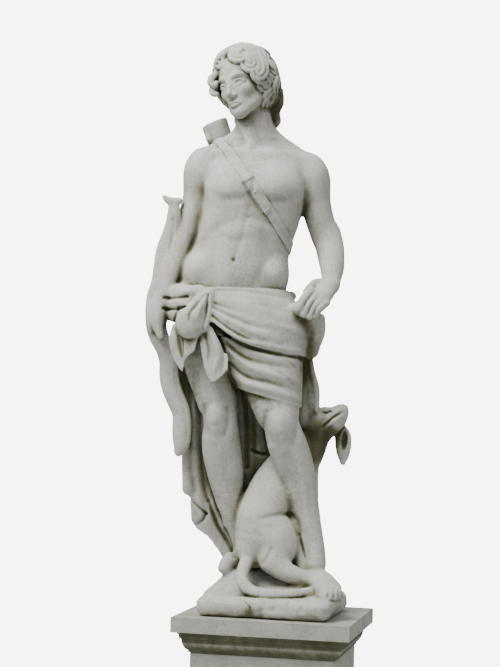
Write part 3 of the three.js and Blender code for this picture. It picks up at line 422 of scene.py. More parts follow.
def carve_arms(stone):
    # The right arm, hanging to the bow
    stone.add(Ball([-268, 14, 1386], [52, 58, 74], [0, 8, 0]), 26)
    stone.add(Limb([[-270, 18, 1380, 50], [-281, 22, 1290, 46], [-310, 26, 1200, 44]]), 20)
    stone.add(Limb([
        [-312, 24, 1204, 43], [-336, 8, 1146, 46], [-354, -6, 1086, 43], [-368, -18, 1030, 36],
        [-372, -26, 972, 27],
    ]), 14)
    stone.add(Ball([-392, -26, 930], [31, 38, 60], [0, 8, 0]), 14)
    # The back of the hand lies along the bow, one finger pointing down it
    stone.add(Limb([[-392, -34, 985, 16], [-394, -46, 940, 17], [-390, -50, 895, 15], [-382, -48, 860, 12]]), 14)
    stone.add(Limb([[-414, -30, 960, 12], [-416, -36, 920, 12], [-410, -34, 876, 10]]), 12)
    stone.stroke([[-414, 900, 4, -2], [-404, 866, 4, -5], [-392, 838, 4, -5], [-378, 826, 3, -2]], (-120, 0))
    stone.stroke([[-404, 950, 4, -1], [-403, 915, 4, -3], [-398, 885, 4, -2]], (-120, 0))
    # The left arm, bent back to the hip
    stone.add(Ball([86, 14, 1374], [53, 58, 76], [0, -10, 0]), 26)
    stone.add(Limb([[90, 18, 1370, 49], [106, 24, 1270, 46], [132, 34, 1196, 45]]), 20)
    stone.add(Limb([
        [138, 36, 1200, 44], [148, 14, 1150, 45], [154, -18, 1094, 39], [152, -44, 1056, 31],
        [146, -62, 1030, 28],
    ]), 14)
    stone.add(Limb([[146, -64, 1030, 31], [120, -86, 1000, 37], [98, -98, 978, 33]], [-0.2, -0.9, 0.4], 0.62), 14)
    for x, z, drop in [[74, 1004, 50], [90, 990, 54], [106, 976, 48], [122, 968, 36]]:
        stone.add(Limb([
            [x + 12, -104, z + 4, 13.5], [x - 10, -116, z - drop * 0.45, 13], [x - 22, -112, z - drop, 11],
        ]), 5)
    stone.add(Limb([[130, -62, 1036, 15], [98, -76, 1032, 14], [72, -96, 1006, 11]]), 6)
    for x, z, drop in [[82, 996, 50], [98, 984, 50], [114, 972, 40]]:
        parting = [[x + 12, z + 4, 3, -1], [x - 10, z - drop * 0.45, 3, -3], [x - 19, z - drop, 3, -2]]
        stone.stroke(parting, (-180, -90))


LEG_LINES = [
    # Left knee: the cap, the hollows beside it and the band below
    [[0, 600, 20, 9], [4, 576, 20, 10]], [[-42, 626, 12, -5], [-46, 582, 13, -9], [-30, 538, 12, -6]],
    [[50, 612, 11, -5], [48, 570, 11, -8], [40, 536, 10, -5]], [[8, 546, 12, 6], [20, 516, 11, 4]],
    [[-60, 680, 16, -3], [-30, 640, 14, -4]], [[60, 500, 12, 2], [76, 420, 10, 3], [92, 320, 9, 3], [104, 250, 8, 2]],
    # Right knee
    [[-206, 626, 17, 7], [-204, 600, 17, 8]], [[-236, 640, 10, -4], [-240, 600, 10, -7], [-232, 560, 10, -4]],
    [[-168, 634, 11, -5], [-164, 594, 11, -7], [-172, 556, 10, -4]], [[-204, 570, 10, 5], [-200, 540, 10, 4]],
    [[-190, 500, 12, 2], [-176, 420, 10, 3], [-156, 340, 9, 3]],
    # Toes of the left foot
    [[156, 98, 4, -3], [155, 74, 4, -7]], [[173, 98, 4, -3], [172, 74, 4, -7]],
    [[188, 96, 4, -2], [187, 74, 4, -6]], [[200, 94, 4, -2], [199, 74, 4, -5]],
    [[120, 66, 5, -3], [160, 62, 5, -5], [206, 62, 5, -4]],
]


def carve_legs(stone):
    # The left leg, forward and bearing the weight
    stone.add(Limb([
        [-48, 8, 880, 104], [-38, -18, 780, 94], [-22, -44, 690, 82], [-6, -60, 620, 66],
        [8, -62, 570, 60], [32, -44, 510, 61], [56, -22, 440, 59], [78, -14, 360, 48],
        [100, -16, 280, 38], [116, -22, 210, 34], [120, -26, 160, 36],
    ]), 14)
    stone.add(Ball([2, -104, 592], [33, 22, 42], [8, 10, 0]), 22)
    stone.add(Ball([62, 22, 450], [40, 34, 92], [0, -10, 0]), 22)
    stone.add(Limb([
        [116, 6, 106, 40], [134, -58, 112, 41], [156, -112, 94, 42], [170, -152, 82, 34],
    ], [0, 0, 1], 0.74), 16)
    for x, y, r in [[146, -172, 13], [164, -178, 12], [180, -174, 11], [193, -164, 10], [204, -150, 9]]:
        stone.add(Limb([[x - 10, y + 44, 84, r], [x, y, 74, r - 1]]), 7)
    # The right leg, drawn back, its foot turned out
    stone.add(Limb([
        [-214, 18, 880, 98], [-218, 8, 790, 90], [-206, -6, 706, 73], [-193, -18, 634, 59],
        [-187, -16, 580, 57], [-181, 6, 510, 61], [-169, 26, 440, 58], [-154, 40, 360, 46],
        [-132, 50, 280, 35], [-108, 56, 210, 31], [-100, 58, 160, 33],
    ]), 14)
    stone.add(Ball([-196, -62, 606], [30, 20, 38], [4, 6, 0]), 20)
    stone.add(Ball([-170, 66, 460], [38, 32, 90], [0, 8, 0]), 22)
    stone.add(Limb([
        [-100, 60, 158, 34], [-128, 48, 164, 28], [-152, 34, 150, 24], [-164, 24, 132, 21],
    ], [0.5, 0, 1], 0.85), 16)
    for line in LEG_LINES:
        stone.stroke(line, (-220, 10))


def on_head(form):
    """Places a form drawn in the head's own frame: face to -y, crown to +z."""
    return form.placed(np.array(HEAD_CENTRE, float), turned(HEAD_TURN))


def carve_head(stone):
    def put(form, blend):
        stone.add(on_head(form), blend)

    def take(form, blend):
        stone.cut(on_head(form), blend)

    put(Ball([0, 12, 12], SKULL), 8)
    # Forehead, face, jaw and chin
    put(Ball([0, -42, 44], [60, 43, 44]), 26)
    put(Ball([0, -24, -24], [55, 57, 76]), 24)
    put(Ball([0, -60, -64], [30, 27, 24]), 18)
    put(Ball([0, -66, -94], [19, 18, 16]), 16)
    for side in [-1, 1]:
        put(Limb([[side * 53, 10, -38, 17], [side * 34, -38, -76, 15], [side * 6, -62, -94, 14]]), 22)
        put(Ball([side * 36, -60, -30], [16, 16, 14]), 22)
        # Brow and socket, eyeball, lids
        put(Limb([[side * 52, -54, 10, 6], [side * 31, -80, 18, 6], [side * 11, -85, 10, 5]]), 12)
        take(Ball([side * 30, -99, -4], [18, 17, 10]), 11)
        put(Ball([side * 13, -74, -8], [7, 9, 12]), 9)
        put(Ball([side * 30, -68.5, -7], [15, 13.5, 11.5]), 4)
        put(Limb([
            [side * 15, -80, -9, 2], [side * 24, -84, -1, 2.8], [side * 36, -81.5, 0, 2.8], [side * 47, -71, -8, 2.4],
        ]), 2.5)
        put(Limb([
            [side * 15, -80, -10, 1.8], [side * 27, -81.5, -15, 2.1], [side * 37, -78, -14, 2.1],
            [side * 47, -71, -9, 1.8],
        ]), 2.5)
        # Ear
        put(Ball([side * 73, 22, -6], [9, 15, 25]), 8)
        put(Limb([
            [side * 76, 8, 8, 4], [side * 81, 18, 19, 5], [side * 85, 32, 10, 5], [side * 82, 30, -12, 5],
            [side * 77, 18, -28, 6],
        ]), 3)
        take(Ball([side * 83, 18, -3], [6, 7, 13]), 3)
        # Wings of the nose
        put(Ball([side * 11, -89, -44], [7, 9, 7]), 5)
        take(Ball([side * 6.5, -98, -50.5], [3.2, 5, 3]), 2)
    # Nose, and its root between the eyes
    put(Limb([[0, -74, 12, 11], [0, -80, -14, 11], [0, -84, -38, 13]]), 10)
    put(Limb([[0, -84, 8, 6.5], [0, -94, -16, 6.5], [0, -104, -36, 7.5]]), 9)
    put(Ball([0, -103, -40], [8.5, 9, 8]), 6)
    # Lips and the line between them
    put(Limb([
        [-20, -82, -71, 2.4], [-10, -89, -66, 4.4], [0, -90, -67.5, 4.0], [10, -89, -66, 4.4], [20, -82, -71, 2.4],
    ]), 4)
    put(Limb([[-17, -82, -73, 2.4], [-7, -88, -76, 4.8], [7, -88, -76, 4.8], [17, -82, -73, 2.4]]), 4)
    take(Limb([
        [-21, -84, -71.5, 1.2], [-10, -93, -71, 1.5], [0, -94.5, -72, 1.5], [10, -93, -71, 1.5],
        [21, -84, -71.5, 1.2],
    ]), 2.5)
    take(Limb([[-10, -90, -85, 2.4], [10, -90, -85, 2.4]]), 9)


def scalp(turn, rise, high):
    """A place over the scalp: degrees round from the face, degrees above the ears, height off the skull."""
    around, up = math.radians(turn), math.radians(rise)
    return np.array([
        (SKULL[0] + high) * math.cos(up) * math.sin(around),
        12 - (SKULL[1] + high) * math.cos(up) * math.cos(around),
        12 + (SKULL[2] + high) * math.sin(up),
    ])


def lock_strands(path, width, lift):
    """One lock of hair as its three strands, along rows (turn, rise) from its root to its tip."""
    along = np.linspace(0, 1, len(path))
    line = np.array([
        scalp(turn, rise, lift + 8 * math.sin(math.pi * min(t * 1.15, 1)))
        for (turn, rise), t in zip(path, along)
    ])
    outward = line - [0, 12, 12]
    across = np.cross(np.gradient(line, axis=0), outward)
    across /= np.linalg.norm(across, axis=1)[:, None]
    outward /= np.linalg.norm(outward, axis=1)[:, None]
    strands = []
    for share in (-1, 0, 1):
        places = line + across * share * width * 0.36 - outward * 2.4 * abs(share)
        strands.append(np.column_stack([places, width * (0.27 - 0.08 * along)]))
    return strands


def curl_path(turn, rise, length, hook, hand):
    """A lock that waves down the skull and hooks over at its end."""
    path = []
    for i in range(19):
        t = i / 18
        run = min(t / 0.55, 1)
        curl = max(0, t - 0.55) / 0.45 * 4.3
        side = hand * (6 * math.sin(run * 4.6) + hook * (1 - math.cos(curl)))
        up = rise - (length * run + hook * math.sin(curl)) / 1.6
        path.append((turn + math.degrees(side / (96 * max(math.cos(math.radians(up)), 0.35))), up))
    return path


# Rows of locks: [rise above the ear line, first turn from the face, last turn, how many]
HAIR_ROWS = [
    [84, 0, 290, 5], [64, 24, 336, 9], [42, 56, 300, 8], [20, 66, 292, 8], [-3, 78, 282, 8],
    [-26, 88, 270, 7], [-48, 100, 256, 5],
]
LOCK_WIDTH = 38
LOCK_HOOK = 13

# The locks that part over the forehead: rows (turn, rise)
SWEPT_LOCKS = [
    [[2, 78], [-10, 66], [-24, 56], [-40, 49], [-56, 40], [-66, 28], [-62, 19], [-54, 23]],
    [[4, 72], [-6, 60], [-18, 51], [-32, 45], [-44, 36], [-44, 28], [-36, 29]],
    [[-8, 80], [-34, 72], [-60, 62], [-76, 48], [-80, 32], [-72, 26], [-66, 33]],
    [[8, 78], [16, 66], [26, 56], [40, 50], [52, 40], [50, 30], [42, 32]],
    [[12, 74], [28, 64], [46, 56], [62, 44], [68, 30], [60, 22], [54, 29]],
    [[10, 82], [46, 74], [70, 62], [84, 48], [84, 36], [76, 32], [72, 39]],
    [[-64, 30], [-72, 18], [-70, 4], [-62, -2], [-58, 6]],
    [[64, 26], [72, 14], [70, 0], [62, -6], [58, 2]],
]


def carve_hair(stone):
    stone.add(on_head(Clipped(Ball([0, 18, 16], [82, 98, 95]), [[0, -1, -0.9, 26]])), 6)
    stone.add(on_head(Limb([[0, 76, -10, 50], [-4, 76, -60, 42], [-10, 70, -108, 26]])), 16)
    # The locks that fall to the nape
    for fall in [
        [[-38, 48, 1660, 22], [-34, 44, 1622, 21], [-44, 40, 1590, 19], [-36, 36, 1558, 16], [-48, 32, 1540, 11]],
        [[-66, 76, 1650, 22], [-60, 82, 1606, 21], [-72, 84, 1572, 18], [-62, 78, 1546, 12]],
        [[-104, 92, 1650, 22], [-112, 94, 1604, 21], [-100, 90, 1570, 18], [-112, 82, 1546, 12]],
        [[-146, 78, 1640, 20], [-140, 84, 1600, 19], [-150, 80, 1566, 15], [-140, 74, 1546, 10]],
    ]:
        stone.add(Limb(fall), 9)
        for shift in (-1, 1):
            strand = [[x + shift * r * 0.6, y + 2, z, r * 0.62] for x, y, z, r in fall]
            stone.add(Limb(strand, near=8), 2)
    # Small curls at the right temple
    for curl in [
        [[-226, -44, 1690, 12], [-240, -46, 1676, 12], [-242, -50, 1660, 11], [-231, -55, 1652, 9],
         [-225, -52, 1661, 8]],
        [[-226, -36, 1654, 11], [-238, -42, 1640, 11], [-234, -48, 1627, 9], [-224, -48, 1626, 8]],
    ]:
        stone.add(Limb(curl, near=10), 3)
    for row, (rise, first, last, count) in enumerate(HAIR_ROWS):
        for i in range(count):
            turn = first + (last - first) * i / (count - 1) + 4 * math.sin(i * 3.1 + row * 1.7)
            hand = 1 if (i + row) % 2 else -1
            length = 34 + 9 * math.sin(i * 2.3 + row)
            hook = LOCK_HOOK + 2.5 * math.sin(i * 1.9 + row * 2.7)
            lift = 12 + 4 * math.sin(i * 4.3 + row)
            for strand in lock_strands(curl_path(turn, rise, length, hook, hand), LOCK_WIDTH, lift):
                stone.add(on_head(Limb(strand, steps=1, near=8)), 2)
    for i, sweep in enumerate(SWEPT_LOCKS):
        for strand in lock_strands(smooth_rows(sweep, 4), LOCK_WIDTH, 15 + 3 * math.sin(i * 2.1)):
            stone.add(on_head(Limb(strand, steps=1, near=8)), 2)


def above(points):
    """Planes that keep what lies over a sagging line of (x, z) points, seen from the front."""
    planes = []
    for (x0, z0), (x1, z1) in zip(points, points[1:]):
        nx, nz = z1 - z0, x0 - x1
        planes.append([nx, 0, nz, nx * x0 + nz * z0])
    return planes


SWAG_LINES = [
    [[-222, 977, 8, 2], [-133, 964, 15, 5], [-40, 936, 20, 6], [53, 922, 16, 2]],
    [[-217, 949, 5, -4], [-163, 921, 7, -7], [-101, 896, 8, -6], [-23, 880, 8, -1]],
    [[-217, 936, 5, 4], [-147, 900, 9, 7], [-69, 867, 13, 6], [8, 848, 14, 2]],
    [[-218, 921, 4, -5], [-170, 884, 5, -11], [-123, 858, 5, -10], [-88, 846, 5, -2]],
    [[-212, 908, 5, 3], [-160, 870, 8, 8], [-100, 842, 10, 9], [0, 825, 12, 8], [60, 816, 12, 6]],
    [[-212, 892, 4, -5], [-156, 853, 5, -8], [-92, 824, 6, -9], [-6, 806, 6, -9], [64, 799, 6, -7]],
    [[-220, 964, 4, -4], [-184, 950, 6, -5], [-130, 934, 8, -1]],
    [[-90, 960, 6, -2], [-30, 950, 7, -3], [30, 930, 6, -1]],
    [[-40, 905, 9, 3], [20, 888, 10, 4], [70, 872, 8, 2]],
    [[104, 930, 6, -1], [97, 880, 6, -4], [84, 822, 6, -3]],
    [[-220, 1000, 4, -3], [-120, 1000, 5, -3], [10, 985, 5, -3]],
]
SKIRT_LINES = [
    [[-150, 850, 6, 2], [-70, 806, 9, 4], [30, 786, 10, 3]],
    [[-173, 840, 6, -5], [-114, 795, 8, -8], [-36, 774, 8, -5], [41, 763, 8, -1]],
    [[-168, 817, 7, 5], [-105, 771, 12, 10], [-35, 746, 14, 9], [50, 730, 12, 4]],
    [[-160, 779, 6, -5], [-105, 737, 8, -10], [-35, 719, 9, -7], [58, 696, 8, -1]],
    [[-171, 760, 6, 4], [-112, 716, 11, 8], [-34, 698, 12, 7], [59, 670, 10, 5]],
    [[-30, 762, 5, -3], [4, 742, 6, -5], [40, 716, 6, -2]],
    [[-20, 800, 5, -3], [20, 786, 6, -5], [50, 762, 5, -2]],
    [[58, 801, 6, -4], [62, 730, 6, -6], [65, 656, 5, -3]],
]
LEAF_LINES = [
    [[-228, 880, 8, 4], [-206, 835, 9, 6], [-196, 795, 9, 6], [-208, 752, 7, 3]],
    [[-214, 880, 5, -5], [-186, 840, 6, -8], [-178, 796, 6, -6], [-184, 756, 5, -2]],
    [[-238, 860, 5, -5], [-226, 815, 5, -6], [-228, 775, 4, -2]],
]
KNOT_LINES = [
    [[-240, 986, 4, -3], [-264, 955, 6, -8], [-286, 925, 6, -8], [-288, 896, 5, -2]],
    [[-252, 950, 6, 3], [-262, 915, 8, 4], [-262, 885, 7, 2]],
    [[-232, 985, 4, -6], [-236, 930, 5, -8], [-244, 880, 5, -5]],
    [[-322, 946, 5, -5], [-336, 905, 5, -5], [-326, 868, 5, -4]],
    [[-338, 860, 6, 4], [-332, 815, 7, 5], [-312, 765, 5, 2]],
    [[-322, 858, 5, -5], [-314, 815, 5, -6], [-302, 775, 4, -2]],
    [[-372, 979, 5, -6], [-340, 975, 5, -7], [-296, 980, 5, -5]],
    [[-374, 945, 5, -6], [-340, 941, 5, -7], [-300, 947, 5, -5]],
]


def carve_drapery(stone):
    # The cloth wound round the hips, fullest along its sagging lower edge
    stone.add(Clipped(Column([
        [740, -118, 8, 196, 126], [800, -124, 6, 208, 144], [850, -130, 4, 219, 154],
        [900, -137, 4, 223, 152], [950, -148, 5, 208, 139], [1012, -160, 8, 180, 122],
    ], 2.2), above([[-209, 897], [-154, 860], [-91, 831], [-6, 813], [63, 806]])), 5)
    # The skirt over the left thigh
    stone.add(Clipped(Column([
        [600, -8, -30, 76, 98], [680, -30, -24, 98, 108], [760, -50, -14, 118, 124],
        [860, -80, 0, 148, 132],
    ], 2.2), above([[-216, 732], [-103, 690], [63, 646]]) + [[-1, 0, 0.28, 438]]), 5)
    stone.add(Sheet(
        [[-252, 890], [-253, 835], [-247, 800], [-239, 764], [-228, 735], [-217, 717], [-203, 719], [-190, 730],
         [-176, 745], [-167, 762], [-164, 778], [-166, 795], [-173, 813], [-184, 832], [-198, 855], [-210, 885]],
        [[-260, -112], [-205, -128], [-150, -132]], 9), 5)
    for line in SWAG_LINES + SKIRT_LINES + LEAF_LINES:
        stone.stroke(line, (-240, -30))
    # The knot, its loop and the loose ends
    stone.add(Ball([-281, -122, 902], [50, 34, 56], [0, 14, 0]), 8)
    stone.add(Limb([[-236, -116, 992, 17], [-254, -128, 962, 24], [-274, -130, 926, 30]]), 10)
    stone.add(Limb([[-226, -116, 990, 11], [-232, -130, 940, 13], [-244, -134, 890, 15]]), 16)
    stone.add(Sheet(
        [[-340, 900], [-352, 850], [-347, 820], [-336, 788], [-318, 758], [-307, 747], [-301, 770], [-296, 800],
         [-284, 835], [-256, 870], [-256, 930]],
        [[-350, -78], [-270, -106]], 13), 8)
    stone.add(Sheet(
        [[-304, 860], [-302, 800], [-297, 787], [-284, 802], [-270, 812], [-258, 860]],
        [[-304, -112], [-258, -122]], 9), 5)
    # Three folds stacked over the right hip
    stone.add(Ball([-316, -46, 962], [42, 58, 62]), 20)
    for z, reach in [[996, 0], [962, 9], [928, 7]]:
        stone.add(Limb([[-344 - reach, 10, z, 18], [-326, -70, z - 4, 21], [-262, -110, z + 4, 18]]), 15)
    for line in KNOT_LINES:
        stone.stroke(line, (-240, -30))
    # The rolled edge round the back of the waist, and the folds that sag below it
    for z, sag, r in [[1000, 0, 15], [962, 26, 15], [920, 48, 16], [872, 64, 16]]:
        stone.add(Limb([
            [-334, 34, z, r], [-262, 112, z - sag * 0.7, r], [-156, 140, z - sag, r],
            [-46, 116, z - sag * 0.8, r], [30, 52, z - sag * 0.2, r],
        ]), 14)
    # The cloth gathered under the left hand
    stone.add(Limb([[52, -84, 952, 26], [84, -62, 940, 30], [104, -28, 896, 31], [94, 4, 826, 26]]), 26)
    stone.add(Limb([[122, 4, 930, 15], [122, 16, 880, 16], [104, 30, 820, 12]]), 8)
    # The end that hangs behind the left thigh
    stone.add(Limb([
        [64, 14, 850, 22], [80, 34, 780, 21], [98, 44, 716, 22], [104, 46, 660, 22], [104, 46, 626, 15],
    ]), 8)
    stone.add(Limb([[84, 6, 830, 10], [100, 22, 760, 10], [116, 28, 700, 10], [118, 30, 640, 8]]), 5)
    stone.add(Limb([[40, 44, 850, 30], [54, 50, 760, 32], [70, 54, 680, 31], [84, 56, 600, 26]]), 10)


CLOAK_LINES = [
    [[-288, 740, 6, -4], [-283, 560, 7, -6], [-279, 440, 7, -5], [-266, 370, 6, -3]],
    [[-272, 700, 8, 4], [-266, 560, 9, 6], [-258, 440, 9, 6], [-248, 345, 8, 3]],
    [[-252, 640, 6, -5], [-246, 500, 7, -7], [-238, 400, 7, -6], [-222, 340, 6, -4]],
    [[-284, 352, 5, -4], [-252, 322, 5, -7], [-226, 299, 5, -8]],
    [[-226, 299, 5, -7], [-236, 280, 5, -7], [-256, 262, 5, -3]],
    [[-219, 340, 6, -6], [-204, 298, 6, -10], [-186, 255, 6, -11], [-158, 212, 6, -10], [-132, 168, 6, -7]],
    [[-208, 340, 8, 4], [-192, 300, 9, 5], [-170, 262, 9, 5]],
    [[-122, 700, 8, -8], [-106, 610, 8, -12], [-100, 450, 8, -10]],
    [[-78, 680, 10, 8], [-68, 580, 12, 10], [-62, 500, 10, 6]],
    [[-84, 504, 5, -8], [-56, 494, 5, -9], [-28, 492, 5, -6]],
    [[-48, 640, 7, -8], [-42, 560, 7, -9], [-36, 500, 6, -5]],
]


def carve_cloak(stone):
    # It falls behind the legs to the slab, one limb to each fold
    stone.add(Sheet([
        [-330, 950], [-330, 700], [-312, 600], [-305, 437], [-300, 400], [-293, 372], [-280, 345], [-274, 312],
        [-273, 280], [-258, 254], [-222, 230], [-197, 202], [-180, 176], [-164, 146], [-146, 100], [-140, 40], [0, 40],
        [16, 860], [0, 900],
    ], [[-330, 44], [-310, 52], [-276, 66], [-232, 84], [-170, 102], [-80, 108], [20, 96]], 21), 8)
    for x, y, foot in [[-288, 56, 362], [-254, 74, 276], [-220, 88, 240], [-184, 100, 196]]:
        stone.add(Limb([[x - 4, y, 930, 20], [x, y, 600, 19], [x + 4, y, foot + 90, 20], [x, y, foot + 14, 16]]), 12)
    # Folds down the back
    for x, y in [[-270, 86], [-226, 106], [-180, 122], [-130, 130], [-78, 130], [-26, 118]]:
        stone.add(Limb([
            [x, y - 10, 900, 22], [x - 3, y, 620, 20], [x + 3, y, 380, 20], [x + 8, y - 4, 250 - x * 0.4, 14],
        ]), 10)
    for line in CLOAK_LINES:
        stone.stroke(line, (10, 104))


HOUND_LINES = [
    [[202, 634, 4, -3], [186, 626, 4, -7], [168, 614, 4, -7], [150, 597, 4, -6], [136, 584, 4, -3]],
    [[196, 622, 5, 4], [176, 608, 6, 5], [154, 590, 5, 3]],
    [[188, 642, 7, 4], [168, 630, 8, 4], [150, 618, 7, 2]],
    [[207, 655, 2.5, -4], [203, 650, 2.5, -4]], [[196, 658, 2.5, -4], [193, 653, 2.5, -4]],
    [[140, 648, 7, 4], [156, 642, 6, 3]], [[160, 636, 3, -5], [166, 632, 3, -5]],
    [[-63, 293, 6, -2], [-9, 308, 9, -5], [38, 309, 9, -6], [62, 290, 9, -5], [70, 250, 8, -4]],
    [[70, 250, 3, -3], [79, 216, 4, -8], [88, 180, 3, -4]],
    [[-16, 208, 8, -3], [-28, 182, 8, -6], [-40, 162, 7, -5]],
    [[150, 560, 8, -4], [140, 520, 9, -5], [136, 486, 8, -3]],
]


def carve_hound(stone):
    # Body, from the rump up to the shoulders
    stone.add(Limb([
        [-64, 0, 205, 66], [-46, 6, 290, 82], [-10, 26, 380, 80], [34, 48, 450, 72], [76, 60, 500, 60],
    ]), 16)
    stone.add(Limb([[76, 58, 480, 56], [106, 60, 520, 46], [122, 58, 570, 44]]), 18)
    # Haunch, hock and hind paw
    stone.add(Ball([4, -36, 226], [62, 50, 84], [0, -6, 0]), 22)
    stone.add(Limb([[-14, -56, 166, 40], [24, -74, 138, 30], [90, -72, 116, 24]]), 24)
    stone.cut(Limb([[-30, -104, 196, 2], [-38, -100, 168, 3], [-38, -96, 140, 3]]), 8)
    stone.add(Limb([[60, 6, 350, 40], [76, -4, 250, 38], [86, -16, 130, 36]]), 12)
    # Forelegs, behind the huntsman's shin
    stone.add(Limb([[88, 70, 440, 42], [100, 66, 330, 30], [104, 50, 200, 22], [108, 30, 100, 24]]), 12)
    stone.add(Limb([[50, 96, 420, 42], [58, 92, 300, 30], [62, 84, 190, 22], [66, 62, 100, 24]]), 12)
    # Head, raised and looking up, the mouth shut
    stone.add(Ball([140, 58, 594], [50, 48, 54], [0, 30, 0]), 14)
    stone.add(Limb([[152, 50, 596, 42], [176, 44, 612, 38], [192, 38, 630, 28]]), 12)
    stone.add(Ball([200, 36, 644], [18, 18, 16]), 6)
    stone.cut(Limb([[206, 14, 626, 2], [190, 2, 628, 3], [164, 0, 612, 3], [140, 6, 590, 2]]), 4)
    stone.add(Ball([146, 14, 640], [10, 7, 7]), 3)
    stone.add(Limb([
        [186, 66, 590, 20], [204, 62, 556, 28], [206, 60, 512, 25], [206, 60, 474, 10],
    ], [0.4, 0.8, 0.2], 0.5), 5)
    stone.cut(Ball([208, 44, 542], [11, 14, 34], [0, 4, 0]), 6)
    stone.add(Limb([
        [124, 100, 606, 18], [134, 116, 570, 25], [132, 112, 530, 20], [130, 106, 496, 8],
    ], [-0.4, 1, 0], 0.4), 5)
    stone.add(Ball([172, 26, 602], [26, 26, 22], [0, 20, 0]), 12)
    for line in HOUND_LINES:
        stone.stroke(line, (-200, 60))
    # Tail, laid round on the slab
    stone.add(Limb([
        [-80, -22, 172, 25], [-100, -60, 148, 20], [-106, -96, 106, 19], [-74, -124, 78, 19],
        [-16, -136, 70, 18], [50, -132, 74, 15], [102, -114, 82, 12],
    ]), 13)


def carve_bow(stone):
    stone.add(Limb([
        [-352, -16, 1286, 15], [-350, -16, 1250, 21], [-352, -14, 1217, 24], [-363, -12, 1169, 28],
        [-375, -10, 1122, 31], [-384, -12, 1038, 31], [-398, -16, 972, 33], [-398, -16, 905, 33],
        [-389, -14, 862, 31], [-367, -8, 818, 29], [-356, -4, 776, 29], [-352, 0, 730, 31],
        [-338, 0, 680, 31], [-311, 0, 618, 29], [-308, 0, 556, 30], [-309, 0, 518, 24], [-316, 0, 496, 15],
    ], [0, 1, 0], 0.66), 8)
    # The nock at the upper end, which turns outward
    stone.add(Limb([
        [-382, -20, 1300, 7], [-368, -18, 1290, 12], [-350, -16, 1284, 14], [-334, -14, 1290, 11],
    ], [0, 1, 0], 0.8), 5)
    stone.stroke([[-372, 1296, 4, -3], [-356, 1278, 5, -4], [-352, 1256, 5, -2]], (-120, 0))
    stone.stroke([[-350, 1230, 5, -4], [-352, 1180, 5, -5], [-362, 1120, 5, -4]], (-120, 0))
    stone.stroke([
        [-334, 760, 5, -3], [-326, 700, 5, -4], [-304, 640, 5, -4], [-292, 580, 5, -3], [-292, 530, 4, -2],
    ], (-120, 0))


def carve_quiver(stone):
    tube = Limb([[-246, 116, 1600, 44], [-152, 138, 1340, 38], [-84, 138, 1130, 30]])
    stone.add(Clipped(tube, [[-0.4, 0, 0.92, 1532]]), 6)
    for x, y in [[-246, 100], [-208, 112], [-242, 134]]:
        stone.add(Limb([[x, y, 1510, 14], [x - 4, y, 1546 + (x + 246) / 2, 12]]), 4)


SLAB_LINES = [
    [[-108, 58, 3, -2], [-94, 50, 3, -5], [-80, 36, 3, -3]], [[44, 58, 3, -2], [38, 52, 3, -5], [30, 40, 3, -3]],
    [[-180, 50, 14, 3], [-130, 44, 16, 3]], [[90, 44, 16, 4], [150, 50, 16, 4]],
    [[-30, 40, 16, -3], [20, 34, 14, -3]],
]


def carve_slab(stone):
    slab = Block((-8, -6, 31), (210, 176, 31), 30, 26, -STATUE_TURN)
    stone.add(slab, 4)
    stone.add(Ball([-62, 74, 58], [136, 100, 68]), 24)
    stone.add(Limb([[-206, 20, 40, 24], [-172, 26, 52, 34], [-132, 34, 72, 44], [-90, 46, 90, 52]]), 26)
    stone.add(Limb([[-196, -70, 44, 18], [-160, -50, 52, 26], [-120, -40, 60, 34]]), 22)
    stone.add(Ball([70, -10, 55], [120, 110, 44]), 24)
    stone.add(Ball([150, -90, 50], [58, 96, 30]), 20)
    for line in SLAB_LINES:
        stone.stroke(line, (-260, -60))


# Skin of the carving

def hewn(stone):
    """The carving's skin as a mesh, still in drawing millimetres."""
    grid = openvdb.FloatGrid(SKIN_BAND)
    grid.copyFromArray(np.ascontiguousarray(np.clip(stone.depths, -SKIN_BAND, SKIN_BAND)))
    points, _, quads = grid.convertToPolygons(isovalue=0.0)
    points = np.stack([
        np.interp(points[:, i], np.arange(len(axis)), axis) for i, axis in enumerate(stone.axes)
    ], 1)
    a, b, c, d = [points[quads[:, i]] for i in range(4)]
    if (np.cross(c - a, d - b) * a).sum() < 0:
        quads = quads[:, ::-1]
    mesh = bpy.data.meshes.new("statue_carving")
    mesh.vertices.add(len(points))
    mesh.vertices.foreach_set("co", points.astype(np.float32).ravel())
    mesh.loops.add(quads.size)
    mesh.loops.foreach_set("vertex_index", np.ascontiguousarray(quads, np.int32).ravel())
    mesh.polygons.add(len(quads))
    mesh.polygons.foreach_set("loop_start", np.arange(0, quads.size, 4, dtype=np.int32))
    mesh.update(calc_edges=True)
    return mesh


def kept_whole(mesh):
    """Keeps the shell that the crown belongs to, and drops every crumb apart from it."""
    bm = bmesh.new()
    bm.from_mesh(mesh)
    start = max(bm.verts, key=lambda v: v.co.z)
    reached, front = {start}, [start]
    while front:
        fresh = []
        for v in front:
            for edge in v.link_edges:
                other = edge.other_vert(v)
                if other not in reached:
                    reached.add(other)
                    fresh.append(other)
        front = fresh
    bmesh.ops.delete(bm, geom=[v for v in bm.verts if v not in reached], context="VERTS")
    bm.to_mesh(mesh)
    bm.free()


def thinned(mesh, faces):
    """The same skin with fewer faces, kept where it curves most."""
    source = linked("thinning", mesh)
    thin = source.modifiers.new("thin", "DECIMATE")
    thin.ratio = min(1.0, faces / sum(len(p.vertices) - 2 for p in mesh.polygons))
    graph = bpy.context.evaluated_depsgraph_get()
    fewer = bpy.data.meshes.new_from_object(source.evaluated_get(graph))
    bpy.data.objects.remove(source)
    return fewer


